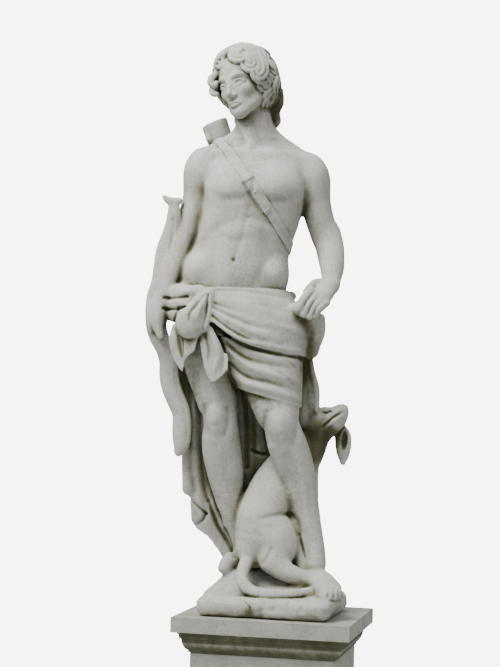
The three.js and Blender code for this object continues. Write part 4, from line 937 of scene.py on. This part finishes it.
def softened(values, reach):
    """A field averaged over a cube of cells, twice over."""
    for axis in (0, 1, 2, 0, 1, 2):
        pad = [(reach + 1, reach) if i == axis else (0, 0) for i in range(3)]
        total = np.cumsum(np.pad(values, pad, mode="edge"), axis, dtype=np.float64)
        n = values.shape[axis]
        high = np.take(total, np.arange(2 * reach + 1, 2 * reach + 1 + n), axis)
        low = np.take(total, np.arange(n), axis)
        values = ((high - low) / (2 * reach + 1)).astype(np.float32)
    return values


class Solidity:
    """How much stone there is about a place, read from even cells of the carving."""

    def __init__(self, stone, cell=5.0):
        self.cell = cell
        self.low = np.array([a[0] for a in stone.axes])
        even = [np.arange(a[0], a[-1], cell) for a in stone.axes]
        at = [np.abs(np.searchsorted(a, e)).clip(0, len(a) - 1) for a, e in zip(stone.axes, even)]
        self.share = np.clip(0.5 - stone.depths[np.ix_(*at)] / cell, 0, 1)

    def read(self, values, places):
        at = (places - self.low) / self.cell
        at = np.clip(at, 0, np.array(values.shape) - 1.001)
        base = at.astype(int)
        part = at - base
        out = 0
        for corner in range(8):
            step = np.array([corner & 1, corner >> 1 & 1, corner >> 2 & 1])
            weight = np.prod(np.where(step, part, 1 - part), 1)
            i, j, k = (base + step).T
            out = out + weight * values[i, j, k]
        return out

    def overhead(self, places, reach=300.0, step=9.0):
        """The share of upward rays that meet stone within their reach."""
        rays = [(0, 90)] + [(a, 62) for a in range(0, 360, 72)] + [(a + 30, 32) for a in range(0, 360, 60)]
        blocked = 0
        for turn, rise in rays:
            a, b = math.radians(turn), math.radians(rise)
            ray = np.array([math.cos(a) * math.cos(b), math.sin(a) * math.cos(b), math.sin(b)])
            met = np.zeros(len(places), bool)
            for far in np.arange(10, reach, step):
                at = ((places + ray * far - self.low) / self.cell).astype(int)
                at = np.clip(at, 0, np.array(self.share.shape) - 1)
                met |= self.share[at[:, 0], at[:, 1], at[:, 2]] > 0.5
            blocked = blocked + met
        return blocked / len(rays)


def mesh_points(mesh):
    points = np.empty(3 * len(mesh.vertices), np.float32)
    mesh.vertices.foreach_get("co", points)
    normals = np.empty(3 * len(mesh.vertices), np.float32)
    mesh.vertex_normals.foreach_get("vector", normals)
    return points.reshape(-1, 3).astype(float), normals.reshape(-1, 3).astype(float)


def hollowness(mesh, rounds=2):
    """How far each point lies below its neighbours, over the length to them; less than nothing on a ridge."""
    points, normals = mesh_points(mesh)
    ends = np.empty(2 * len(mesh.edges), np.int32)
    mesh.edges.foreach_get("vertices", ends)
    a, b = ends.reshape(-1, 2).T
    count = np.bincount(a, minlength=len(points)) + np.bincount(b, minlength=len(points))
    count = np.maximum(count, 1)

    def neighbours(values):
        return (np.bincount(a, values[b], len(points)) + np.bincount(b, values[a], len(points))) / count

    step = np.linalg.norm(points[a] - points[b], axis=1)
    length = (np.bincount(a, step, len(points)) + np.bincount(b, step, len(points))) / count
    mean = np.stack([neighbours(points[:, i]) for i in range(3)], 1)
    sunk = ((mean - points) * normals).sum(1) / np.maximum(length, 1e-6)
    for _ in range(rounds):
        sunk = 0.5 * sunk + 0.5 * neighbours(sunk)
    return sunk


def noted(mesh, name, values):
    layer = mesh.attributes.new(name, "FLOAT", "POINT")
    layer.data.foreach_set("value", np.clip(values, 0, 1).astype(np.float32))


def near_to(points, centre, reach):
    away = ((points - np.array(centre, float)) / np.array(reach, float)) ** 2
    return np.exp(-away.sum(1))


# Where algae has grown on the figure: [place, reach, strength]
GROWTH = [
    [[-40, 44, 1590], [46, 60, 70], 0.9], [[-96, 10, 1560], [60, 50, 46], 0.35],
    [[-46, 20, 1680], [60, 80, 90], 0.9], [[-120, 20, 1740], [130, 130, 76], 0.8],
    [[-220, -20, 1700], [40, 60, 60], 0.4],
    [[132, 20, 530], [50, 70, 80], 1.5], [[196, 40, 556], [40, 40, 60], 0.5],
    [[76, -10, 790], [60, 60, 90], 0.8], [[-20, -40, 650], [110, 60, 60], 0.5],
    [[-66, -84, 112], [34, 50, 40], 1.0], [[-60, -130, 40], [160, 60, 34], 0.6],
    [[-290, -110, 860], [60, 40, 90], 0.45], [[-150, 20, 700], [70, 60, 90], 0.6],
    [[110, -60, 620], [40, 50, 50], 0.5], [[-60, 60, 560], [60, 60, 140], 0.5],
]

# Where rain keeps the stone clean: the face, its place and reach
WASHED_FACE = [[-192, -92, 1640], [44, 50, 60]]


def weathered_and_shaded_figure(mesh, stone):
    solidity = Solidity(stone)
    points, normals = mesh_points(mesh)
    # How much stone surrounds each point: hollows and crevices are darkened from this, partly as grime and partly as
    # painted shade.
    wide = solidity.read(softened(solidity.share, 5), points + normals * 12)
    middle = solidity.read(softened(solidity.share, 2), points + normals * 6)
    fine = solidity.read(softened(solidity.share, 1), points + normals * 4)
    sunk = hollowness(mesh)
    # Painted shade as well as grime: places with stone overhead are darkened, tops are lightened, and what faces down
    # is darkened.
    cover = solidity.overhead(points + normals * 9)
    cover = cover * (1 - 0.6 * np.maximum(normals[:, 2], 0)) + 0.25 * np.maximum(-normals[:, 2], 0)
    growth = sum(s * near_to(points, c, r) for c, r, s in GROWTH)
    clean = 1 - 0.85 * near_to(points, *WASHED_FACE)
    growth = clean * growth + 0.5 * np.exp(-(points[:, 2] / 12) ** 2)
    noted(mesh, "hollow", clean * (wide - 0.28) / 0.4)
    tight = np.maximum((fine - 0.28) / 0.3, (middle - 0.31) / 0.34)
    noted(mesh, "crevice", clean * (tight + 2.6 * np.maximum(sunk, 0)))
    noted(mesh, "ridge", np.maximum(-sunk, 0) * 3)
    noted(mesh, "cover", clean * cover)
    noted(mesh, "growth", growth)


def carved_statue():
    """The whole carving, cut in a grid with its finest cells round the head."""
    cell, fine, faces = ((3.2, 2.0, 192000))
    stone = Stone([
        graded([(-480, -258, cell), (-258, 0, fine), (0, 340, cell)]),
        graded([(-260, -140, cell), (-140, 115, fine), (115, 280, cell)]),
        graded([(-10, 1530, cell), (1530, 1818, fine), (1818, 1860, cell)]),
    ])
    for carve in (carve_body, carve_arms, carve_legs, carve_head, carve_hair, carve_drapery,
                  carve_cloak, carve_hound, carve_bow, carve_quiver, carve_slab):
        carve(stone)
    # Sawn flat under the slab
    z = stone.axes[2].astype(np.float32)[None, None, :]
    np.maximum(stone.depths, -z, out=stone.depths)
    mesh = thinned(hewn(stone), faces)
    kept_whole(mesh)
    points, normals = mesh_points(mesh)
    lift = np.array([0.9 * noise.noise(Vector(p) * 0.022) + 0.5 * noise.noise(Vector(p) * 0.09) for p in points])
    rough = np.array([noise.noise(Vector(p) * 0.016) + 0.5 * noise.noise(Vector(p) * 0.05) for p in points])
    lift += rough * 5 * np.clip((74 - points[:, 2]) / 20, 0, 1) * np.clip(points[:, 2] / 12, 0, 1)
    points += normals * lift[:, None]
    mesh.vertices.foreach_set("co", points.astype(np.float32).ravel())
    mesh.update()
    mesh.polygons.foreach_set("use_smooth", [True] * len(mesh.polygons))
    weathered_and_shaded_figure(mesh, stone)
    place = Matrix.Translation((0, 0, STATUE_FOOT)) @ Matrix.Rotation(STATUE_TURN, 4, "Z")
    mesh.transform(place @ Matrix.Scale(MM, 4))
    settle_on(mesh, STATUE_FOOT)
    return linked("statue_carved", mesh)


def settle_on(mesh, level):
    """Lifts whatever dips below a level up to it."""
    for v in mesh.vertices:
        v.co.z = max(v.co.z, level)


# Pedestal

def cap_profile():
    """Rows (inset, height) in millimetres up the side of the cap: fillet, ovolo, fillet, rounded band,
    groove, and the slab with its worn upper edge."""
    rows = [(49, 0), (44, 1.5), (44, 6.5)]
    for i in range(1, 10):
        t = i / 9
        a = t * math.pi / 2
        rows.append((44 - 18 * (0.6 * math.sin(a) + 0.4 * t), 6.5 + 32 * (0.6 * (1 - math.cos(a)) + 0.4 * t)))
    rows += [(26, 39), (26, 43)]
    for i in range(7):
        a = i / 6 * math.pi
        rows.append((23 - 3 * math.sin(a), 43.5 + 15 * (1 - math.cos(a)) / 2))
    rows += [(25, 59), (25, 64.5), (4.5, 64.5), (0, 69)]
    for i in range(5):
        a = i / 4 * math.pi / 2
        rows.append((9 * (1 - math.cos(a)), 110.5 - 9 * (1 - math.sin(a))))
    return rows


def base_profile():
    """Rows (inset, height) in millimetres up the side of the base: the plinth, then its cyma."""
    rows = [(0, 0), (0, 124), (4, 130)]
    for i in range(13):
        t = i / 12
        wave = t - math.sin(2 * math.pi * t) / (2 * math.pi)
        rows.append((8 + 32 * wave, 136 + 50 * t))
    return rows


def turned_block(name, cad, rows, corner=0.006, cell=0.009):
    """A block drawn up row by row from its foot, its four sides mitred, then cut into fine faces."""
    low, high = [Vector(c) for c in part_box(cad)]
    centre = (low + high) / 2
    wide, deep = (high - low).x / 2, (high - low).y / 2
    rise = (high.z - low.z) / (rows[-1][1] * MM)
    bm = bmesh.new()
    foot = bmesh.ops.create_grid(bm, x_segments=1, y_segments=1, size=1.0)["verts"]
    for v in foot:
        v.co = (centre.x + v.co.x * (wide - rows[0][0] * MM), centre.y + v.co.y * (deep - rows[0][0] * MM), low.z)
    bmesh.ops.bevel(bm, geom=foot, offset=corner, segments=3, profile=0.5, affect="VERTICES", material=-1)
    rim = [e for e in bm.edges if e.is_boundary]
    for last, row in zip(rows, rows[1:]):
        grown = bmesh.ops.extrude_edge_only(bm, edges=rim)["geom"]
        rim = [g for g in grown if isinstance(g, bmesh.types.BMEdge) and g.is_boundary]
        for v in [g for g in grown if isinstance(g, bmesh.types.BMVert)]:
            v.co.x += math.copysign((last[0] - row[0]) * MM, v.co.x - centre.x)
            v.co.y += math.copysign((last[0] - row[0]) * MM, v.co.y - centre.y)
            v.co.z = low.z + row[1] * MM * rise
    bmesh.ops.contextual_create(bm, geom=rim)
    bmesh.ops.recalc_face_normals(bm, faces=bm.faces)
    sharp = [e for e in bm.edges if e.calc_face_angle(0) > 0.6]
    bmesh.ops.bevel(bm, geom=sharp, offset=0.0016, segments=2, profile=0.5, affect="EDGES", material=-1,
                    clamp_overlap=True)
    for way in (Vector((1, 0, 0)), Vector((0, 1, 0)), Vector((0, 0, 1))):
        for size in (0.6, 0.3, 0.1, 0.02):
            long = [e for e in bm.edges
                    if e.calc_length() > size and abs((e.verts[0].co - e.verts[1].co).normalized().dot(way)) > 0.95]
            if not long:
                continue
            length = max(e.calc_length() for e in long)
            cuts = int(length / cell) - 1
            if cuts > 0:
                bmesh.ops.subdivide_edges(bm, edges=long, cuts=cuts, use_grid_fill=True)
    bmesh.ops.recalc_face_normals(bm, faces=bm.faces)
    bm.normal_update()
    for v in bm.verts:
        place = Vector((v.co.x, v.co.y, 0.4 * v.co.z))
        chips = max(0.0, noise.noise(place * 46) - 0.3)
        edge = min(1.0, 4 * max(0.0, v.calc_shell_factor() - 1.0))
        worn = 0.0004 * (noise.noise(place * 30) + 1) + edge * (0.0007 + 0.0035 * chips)
        v.co -= v.normal * min(worn, 0.003)
    for v in bm.verts:
        v.co = Vector([min(max(c, a), b) for c, a, b in zip(v.co, low, high)])
    mesh = bpy.data.meshes.new(name)
    bm.to_mesh(mesh)
    bm.free()
    mesh.polygons.foreach_set("use_smooth", [True] * len(mesh.polygons))
    return mesh


def weathered_and_shaded_block(mesh, rows, low):
    """Grime and algae gather in the grooves of the moulding and on what faces down, and painted shade darkens the same
    places and what lies under the overhangs.
    """
    points, normals = mesh_points(mesh)
    height = (points[:, 2] - low) / MM
    levels = np.array([r[1] for r in rows], float)
    insets = np.array([r[0] for r in rows], float)
    count, above, full = 400, 120, 15
    steps = np.linspace(0, levels[-1], count)
    line = np.interp(steps, levels, insets)
    # How far the moulding above overhangs each height: what lies under it is painted in shade as well as grime.
    overhang = np.array([(line[i] - line[i:i + above]).max(initial=0) for i in range(count)])
    sheltered = np.clip(overhang / full, 0, 1)
    cover = np.interp(height, steps, sheltered) * (1 - np.maximum(normals[:, 2], 0))
    sunk = hollowness(mesh)
    noted(mesh, "hollow", cover * 0.5)
    noted(mesh, "crevice", np.maximum(sunk, 0) * 1.4 + 0.1 * cover)
    noted(mesh, "ridge", np.maximum(-sunk, 0) * 3)
    noted(mesh, "cover", 0.75 * cover + 0.2 * np.maximum(-normals[:, 2], 0))
    noted(mesh, "growth", 0.3 + 0.25 * cover)


def block(name, cad, rows):
    mesh = turned_block(name, cad, rows)
    weathered_and_shaded_block(mesh, rows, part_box(cad)[0][2])
    return linked(name, mesh)


# Finishes

def node(tree, kind, wires=None, **settings):
    made = tree.nodes.new(kind)
    for key, value in settings.items():
        setattr(made, key, value)
    for key, value in (wires or {}).items():
        if isinstance(value, bpy.types.NodeSocket):
            tree.links.new(value, made.inputs[key])
        else:
            made.inputs[key].default_value = value
    return made


def maths(tree, how, a, b):
    return node(tree, "ShaderNodeMath", {0: a, 1: b}, operation=how).outputs[0]


def weighted(tree, *terms):
    """The sum of values, each times its weight."""
    total = None
    for value, weight in terms:
        share = maths(tree, "MULTIPLY", value, weight)
        total = share if total is None else maths(tree, "ADD", total, share)
    return total


def ramp(tree, value, low, high, to_low=0.0, to_high=1.0):
    made = node(tree, "ShaderNodeMapRange", {
        "Value": value, "From Min": low, "From Max": high, "To Min": to_low, "To Max": to_high,
    }, interpolation_type="SMOOTHSTEP")
    return made.outputs["Result"]


def speckle(tree, place, scale, detail=2.0, roughness=0.5):
    made = node(tree, "ShaderNodeTexNoise", {
        "Vector": place, "Scale": scale, "Detail": detail, "Roughness": roughness,
    })
    return made.outputs["Fac"]


def blended(tree, share, a, b):
    return node(tree, "ShaderNodeMix", {0: share, 6: a, 7: b}, data_type="RGBA").outputs[2]


def srgb(*parts):
    return tuple(((p / 255 + 0.055) / 1.055) ** 2.4 if p > 10 else p / 255 / 12.92 for p in parts) + (1.0,)


def new_group(name, inputs, outputs):
    """A node group fed with a place and some numbers, giving numbers."""
    tree = bpy.data.node_groups.new(name, "ShaderNodeTree")
    tree.interface.new_socket("Place", in_out="INPUT", socket_type="NodeSocketVector")
    for way, titles in (("INPUT", inputs), ("OUTPUT", outputs)):
        for title in titles:
            tree.interface.new_socket(title, in_out=way, socket_type="NodeSocketFloat")
    return tree, node(tree, "NodeGroupInput").outputs


def grain_group():
    """Cast stone's own surface: mottle, aggregate specks, pits and a fine sandy grit."""
    tree, given = new_group("cast_stone_grain", (), ("Mottle", "Blotches", "Specks", "Pits", "Height"))
    here = given["Place"]
    grit = speckle(tree, here, 420.0, 4.0, 0.7)
    lumps = speckle(tree, here, 90.0, 5.0, 0.6)
    broad = speckle(tree, here, 17.0, 6.0, 0.62)
    holes = node(tree, "ShaderNodeTexVoronoi", {"Vector": here, "Scale": 150.0, "Randomness": 1.0})
    gate = ramp(tree, speckle(tree, here, 34.0), 0.5, 0.62)
    pits = maths(tree, "MULTIPLY", ramp(tree, holes.outputs["Distance"], 0.24, 0.1), gate)
    spots = ramp(tree, speckle(tree, here, 150.0, 4.0, 0.75), 0.48, 0.66)
    patches = ramp(tree, speckle(tree, here, 13.0, 3.0), 0.36, 0.6, 0.25, 1.0)
    node(tree, "NodeGroupOutput", {
        "Mottle": weighted(tree, (broad, 0.65), (lumps, 0.35)),
        "Blotches": maths(tree, "MULTIPLY", spots, patches),
        "Specks": ramp(tree, speckle(tree, here, 640.0), 0.6, 0.74),
        "Pits": pits,
        "Height": weighted(tree, (grit, 0.5), (lumps, 1.1), (pits, -0.9)),
    })
    return tree


# What each point of a mesh has noted on it, from 0 to 1, for the weathering and the painted shade to read
NOTES = ("Hollow", "Crevice", "Cover", "Growth", "Ridge")


def weather_and_shade_group():
    """Masks of grime and painted shade in hollows, crevices, under overhangs and on what faces down, of algae, of the
    darkest growth with painted shade in the deepest hollows, and of rain-washed ridges.
    """
    tree, given = new_group("garden_weathering_and_shade", NOTES, ("GrimeAndShade", "Algae", "Dark", "Washed"))
    here = given["Place"]
    cloudy = speckle(tree, here, 11.0, 7.0, 0.66)
    drawn = node(tree, "ShaderNodeMapping", {"Vector": here, "Scale": (1.0, 1.0, 0.16)})
    runs = speckle(tree, drawn.outputs[0], 46.0, 5.0, 0.6)
    crumbs = speckle(tree, here, 150.0, 5.0, 0.7)
    uneven = weighted(tree, (cloudy, 0.5), (runs, 0.3), (crumbs, 0.2))
    uneven = maths(tree, "MULTIPLY", maths(tree, "SUBTRACT", uneven, 0.5), 1.7)
    # Hollows, crevices and covered places are darkened both as lodged grime and as painted shade.
    grime_and_shade = weighted(tree, (given["Hollow"], 0.45), (given["Crevice"], 0.7), (given["Cover"], 0.55),
                      (given["Growth"], 0.5), (given["Ridge"], -0.4))
    grime_and_shade = maths(tree, "ADD", grime_and_shade, uneven)
    # The algae and darkest masks rise from the same sum, so the darkest mask is partly painted shade too.
    grown = maths(tree, "ADD", grime_and_shade, maths(tree, "MULTIPLY", given["Growth"], 0.45))
    node(tree, "NodeGroupOutput", {
        "GrimeAndShade": ramp(tree, grime_and_shade, 0.12, 0.95),
        "Algae": ramp(tree, grown, 0.6, 1.2),
        "Dark": ramp(tree, grown, 0.95, 1.5),
        "Washed": maths(tree, "MULTIPLY", given["Ridge"], ramp(tree, crumbs, 0.35, 0.6)),
    })
    return tree


GRAIN = grain_group()
WEATHER_AND_SHADE = weather_and_shade_group()
SPECK, WASHED = (92, 90, 84), (214, 213, 207)


def stone_finish(name, pale, shade, grime_shade_tint, algae, dark, rough, depth):
    material = bpy.data.materials.new(name)
    material.use_nodes = True
    tree = material.node_tree
    tree.nodes.clear()
    place = node(tree, "ShaderNodeTexCoord").outputs["Object"]
    grain = node(tree, "ShaderNodeGroup", node_tree=GRAIN)
    weathering_and_shade = node(tree, "ShaderNodeGroup", node_tree=WEATHER_AND_SHADE)
    for group in (grain, weathering_and_shade):
        tree.links.new(place, group.inputs["Place"])
    for title in NOTES:
        note = node(tree, "ShaderNodeAttribute", attribute_name=title.lower())
        tree.links.new(note.outputs["Fac"], weathering_and_shade.inputs[title])
    grain, weathering_and_shade = grain.outputs, weathering_and_shade.outputs
    colour = blended(tree, ramp(tree, grain["Mottle"], 0.36, 0.64), srgb(*shade), srgb(*pale))
    for mask, share, tint in (
        (grain["Blotches"], 0.5, grime_shade_tint), (grain["Specks"], 0.45, SPECK), (weathering_and_shade["Washed"], 0.5, WASHED),
        # Painted shade: the grime mask and the darkest mask darken hollows, crevices and overhung places, partly as
        # grime and algae and partly as shade.
        (weathering_and_shade["GrimeAndShade"], 0.72, grime_shade_tint), (weathering_and_shade["Algae"], 0.8, algae), (weathering_and_shade["Dark"], 0.85, dark),
        # The pits are painted dark, partly as grime in them and partly as painted shade.
        (grain["Pits"], 0.5, dark),
    ):
        colour = blended(tree, maths(tree, "MULTIPLY", mask, share), colour, srgb(*tint))
    relief = maths(tree, "ADD", grain["Height"], maths(tree, "MULTIPLY", weathering_and_shade["Algae"], 0.6))
    bump = node(tree, "ShaderNodeBump", {"Height": relief, "Strength": 0.55, "Distance": depth})
    skin = node(tree, "ShaderNodeBsdfPrincipled", {
        "Base Color": colour, "Normal": bump.outputs["Normal"], "IOR": 1.45,
        "Roughness": ramp(tree, weathering_and_shade["Algae"], 0.0, 1.0, rough, 0.98),
    })
    node(tree, "ShaderNodeOutputMaterial", {"Surface": skin.outputs[0]})
    return material


def plain_finish(name, colour):
    material = bpy.data.materials.new(name)
    material.use_nodes = True
    skin = material.node_tree.nodes["Principled BSDF"]
    skin.inputs["Base Color"].default_value = srgb(*colour)
    skin.inputs["Roughness"].default_value = 0.8
    return material


# Both stones carry painted shade in their grime and darkest masks.
statue_finish = stone_finish(
    "weathered_shaded_cast_stone", (206, 205, 198), (186, 185, 176), (137, 134, 118), (104, 104, 66), (66, 66, 42),
    0.86, 0.0011)
pedestal_finish = stone_finish(
    "greened_shaded_cast_stone", (180, 180, 170), (156, 156, 144), (124, 122, 106), (96, 98, 68), (62, 62, 44),
    0.88, 0.0013)

# The object

statue = carved_statue()
statue.data.materials.append(statue_finish)
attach(statue, "root")
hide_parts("statue")

for title, cad, rows in (
    ("pedestal_cap_stone", "pedestal_cap", cap_profile()),
    ("pedestal_die_stone", "pedestal_die", [(0, 0), (0, 500)]),
    ("pedestal_base_stone", "pedestal_base", base_profile()),
):
    piece = block(title, cad, rows)
    piece.data.materials.append(pedestal_finish)
    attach(piece, "root")
    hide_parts(cad)

# Floor, light and camera

FLOOR_RADIUS = 2.6
bm = bmesh.new()
bmesh.ops.create_circle(bm, cap_ends=True, segments=96, radius=FLOOR_RADIUS)
ground = bpy.data.meshes.new("floor")
bm.to_mesh(ground)
bm.free()
floor = linked("floor", ground)
ground.materials.append(plain_finish("pale_floor", (214, 214, 210)))

HORIZON, ZENITH = (0.27, 0.275, 0.28, 1), (1.12, 1.13, 1.15, 1)
world = bpy.data.worlds.new("overcast")
bpy.context.scene.world = world
world.use_nodes = True
tree = world.node_tree
tree.nodes.clear()
way = node(tree, "ShaderNodeSeparateXYZ", {0: node(tree, "ShaderNodeTexCoord").outputs["Generated"]})
sky = blended(tree, ramp(tree, way.outputs["Z"], -0.25, 0.85), HORIZON, ZENITH)
light = node(tree, "ShaderNodeBackground", {"Color": sky, "Strength": 0.8})
wall = node(tree, "ShaderNodeBackground", {"Color": (1, 1, 1, 1), "Strength": 7.0})
seen = node(tree, "ShaderNodeLightPath").outputs["Is Camera Ray"]
both = node(tree, "ShaderNodeMixShader", {0: seen, 1: light.outputs[0], 2: wall.outputs[0]})
node(tree, "ShaderNodeOutputWorld", {"Surface": both.outputs[0]})


def lamp(name, place, aim, size, power):
    light = bpy.data.lights.new(name, "AREA")
    light.shape = "DISK"
    light.size = size
    light.energy = power
    made = linked(name, light)
    made.location = place
    made.rotation_euler = (Vector(aim) - Vector(place)).to_track_quat("-Z", "Y").to_euler()


lamp("high_soft_light", (-1.4, -2.4, 5.0), (0, 0, 1.6), 2.4, 260)

CAP_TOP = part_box("pedestal_cap")[1][2]
FOCAL_LENGTH, FRAME_HEIGHT, SENSOR = 1600, 667, 36
AZIMUTH, PITCH, ROLL = math.radians(13.1), math.radians(2.5), math.radians(1.38)
DISTANCE, RISE, SIDEWAYS = 5.06, 0.6545, -0.1001
photo_eye = bpy.data.cameras.new("photo_view")
photo_eye.lens = FOCAL_LENGTH / FRAME_HEIGHT * SENSOR
photo_eye.sensor_width = SENSOR
photo_eye.sensor_fit = "AUTO"
camera = linked("photo_view", photo_eye)
sin, cos = math.sin(AZIMUTH), math.cos(AZIMUTH)
camera.location = (sin * DISTANCE + cos * SIDEWAYS, -cos * DISTANCE + sin * SIDEWAYS, CAP_TOP + RISE)
look = Vector((-sin * math.cos(PITCH), cos * math.cos(PITCH), math.sin(PITCH)))
upright = look.to_track_quat("-Z", "Y").to_matrix().to_4x4()
camera.matrix_world = Matrix.Translation(camera.location) @ upright @ Matrix.Rotation(ROLL, 4, "Z")
bpy.context.scene.camera = camera
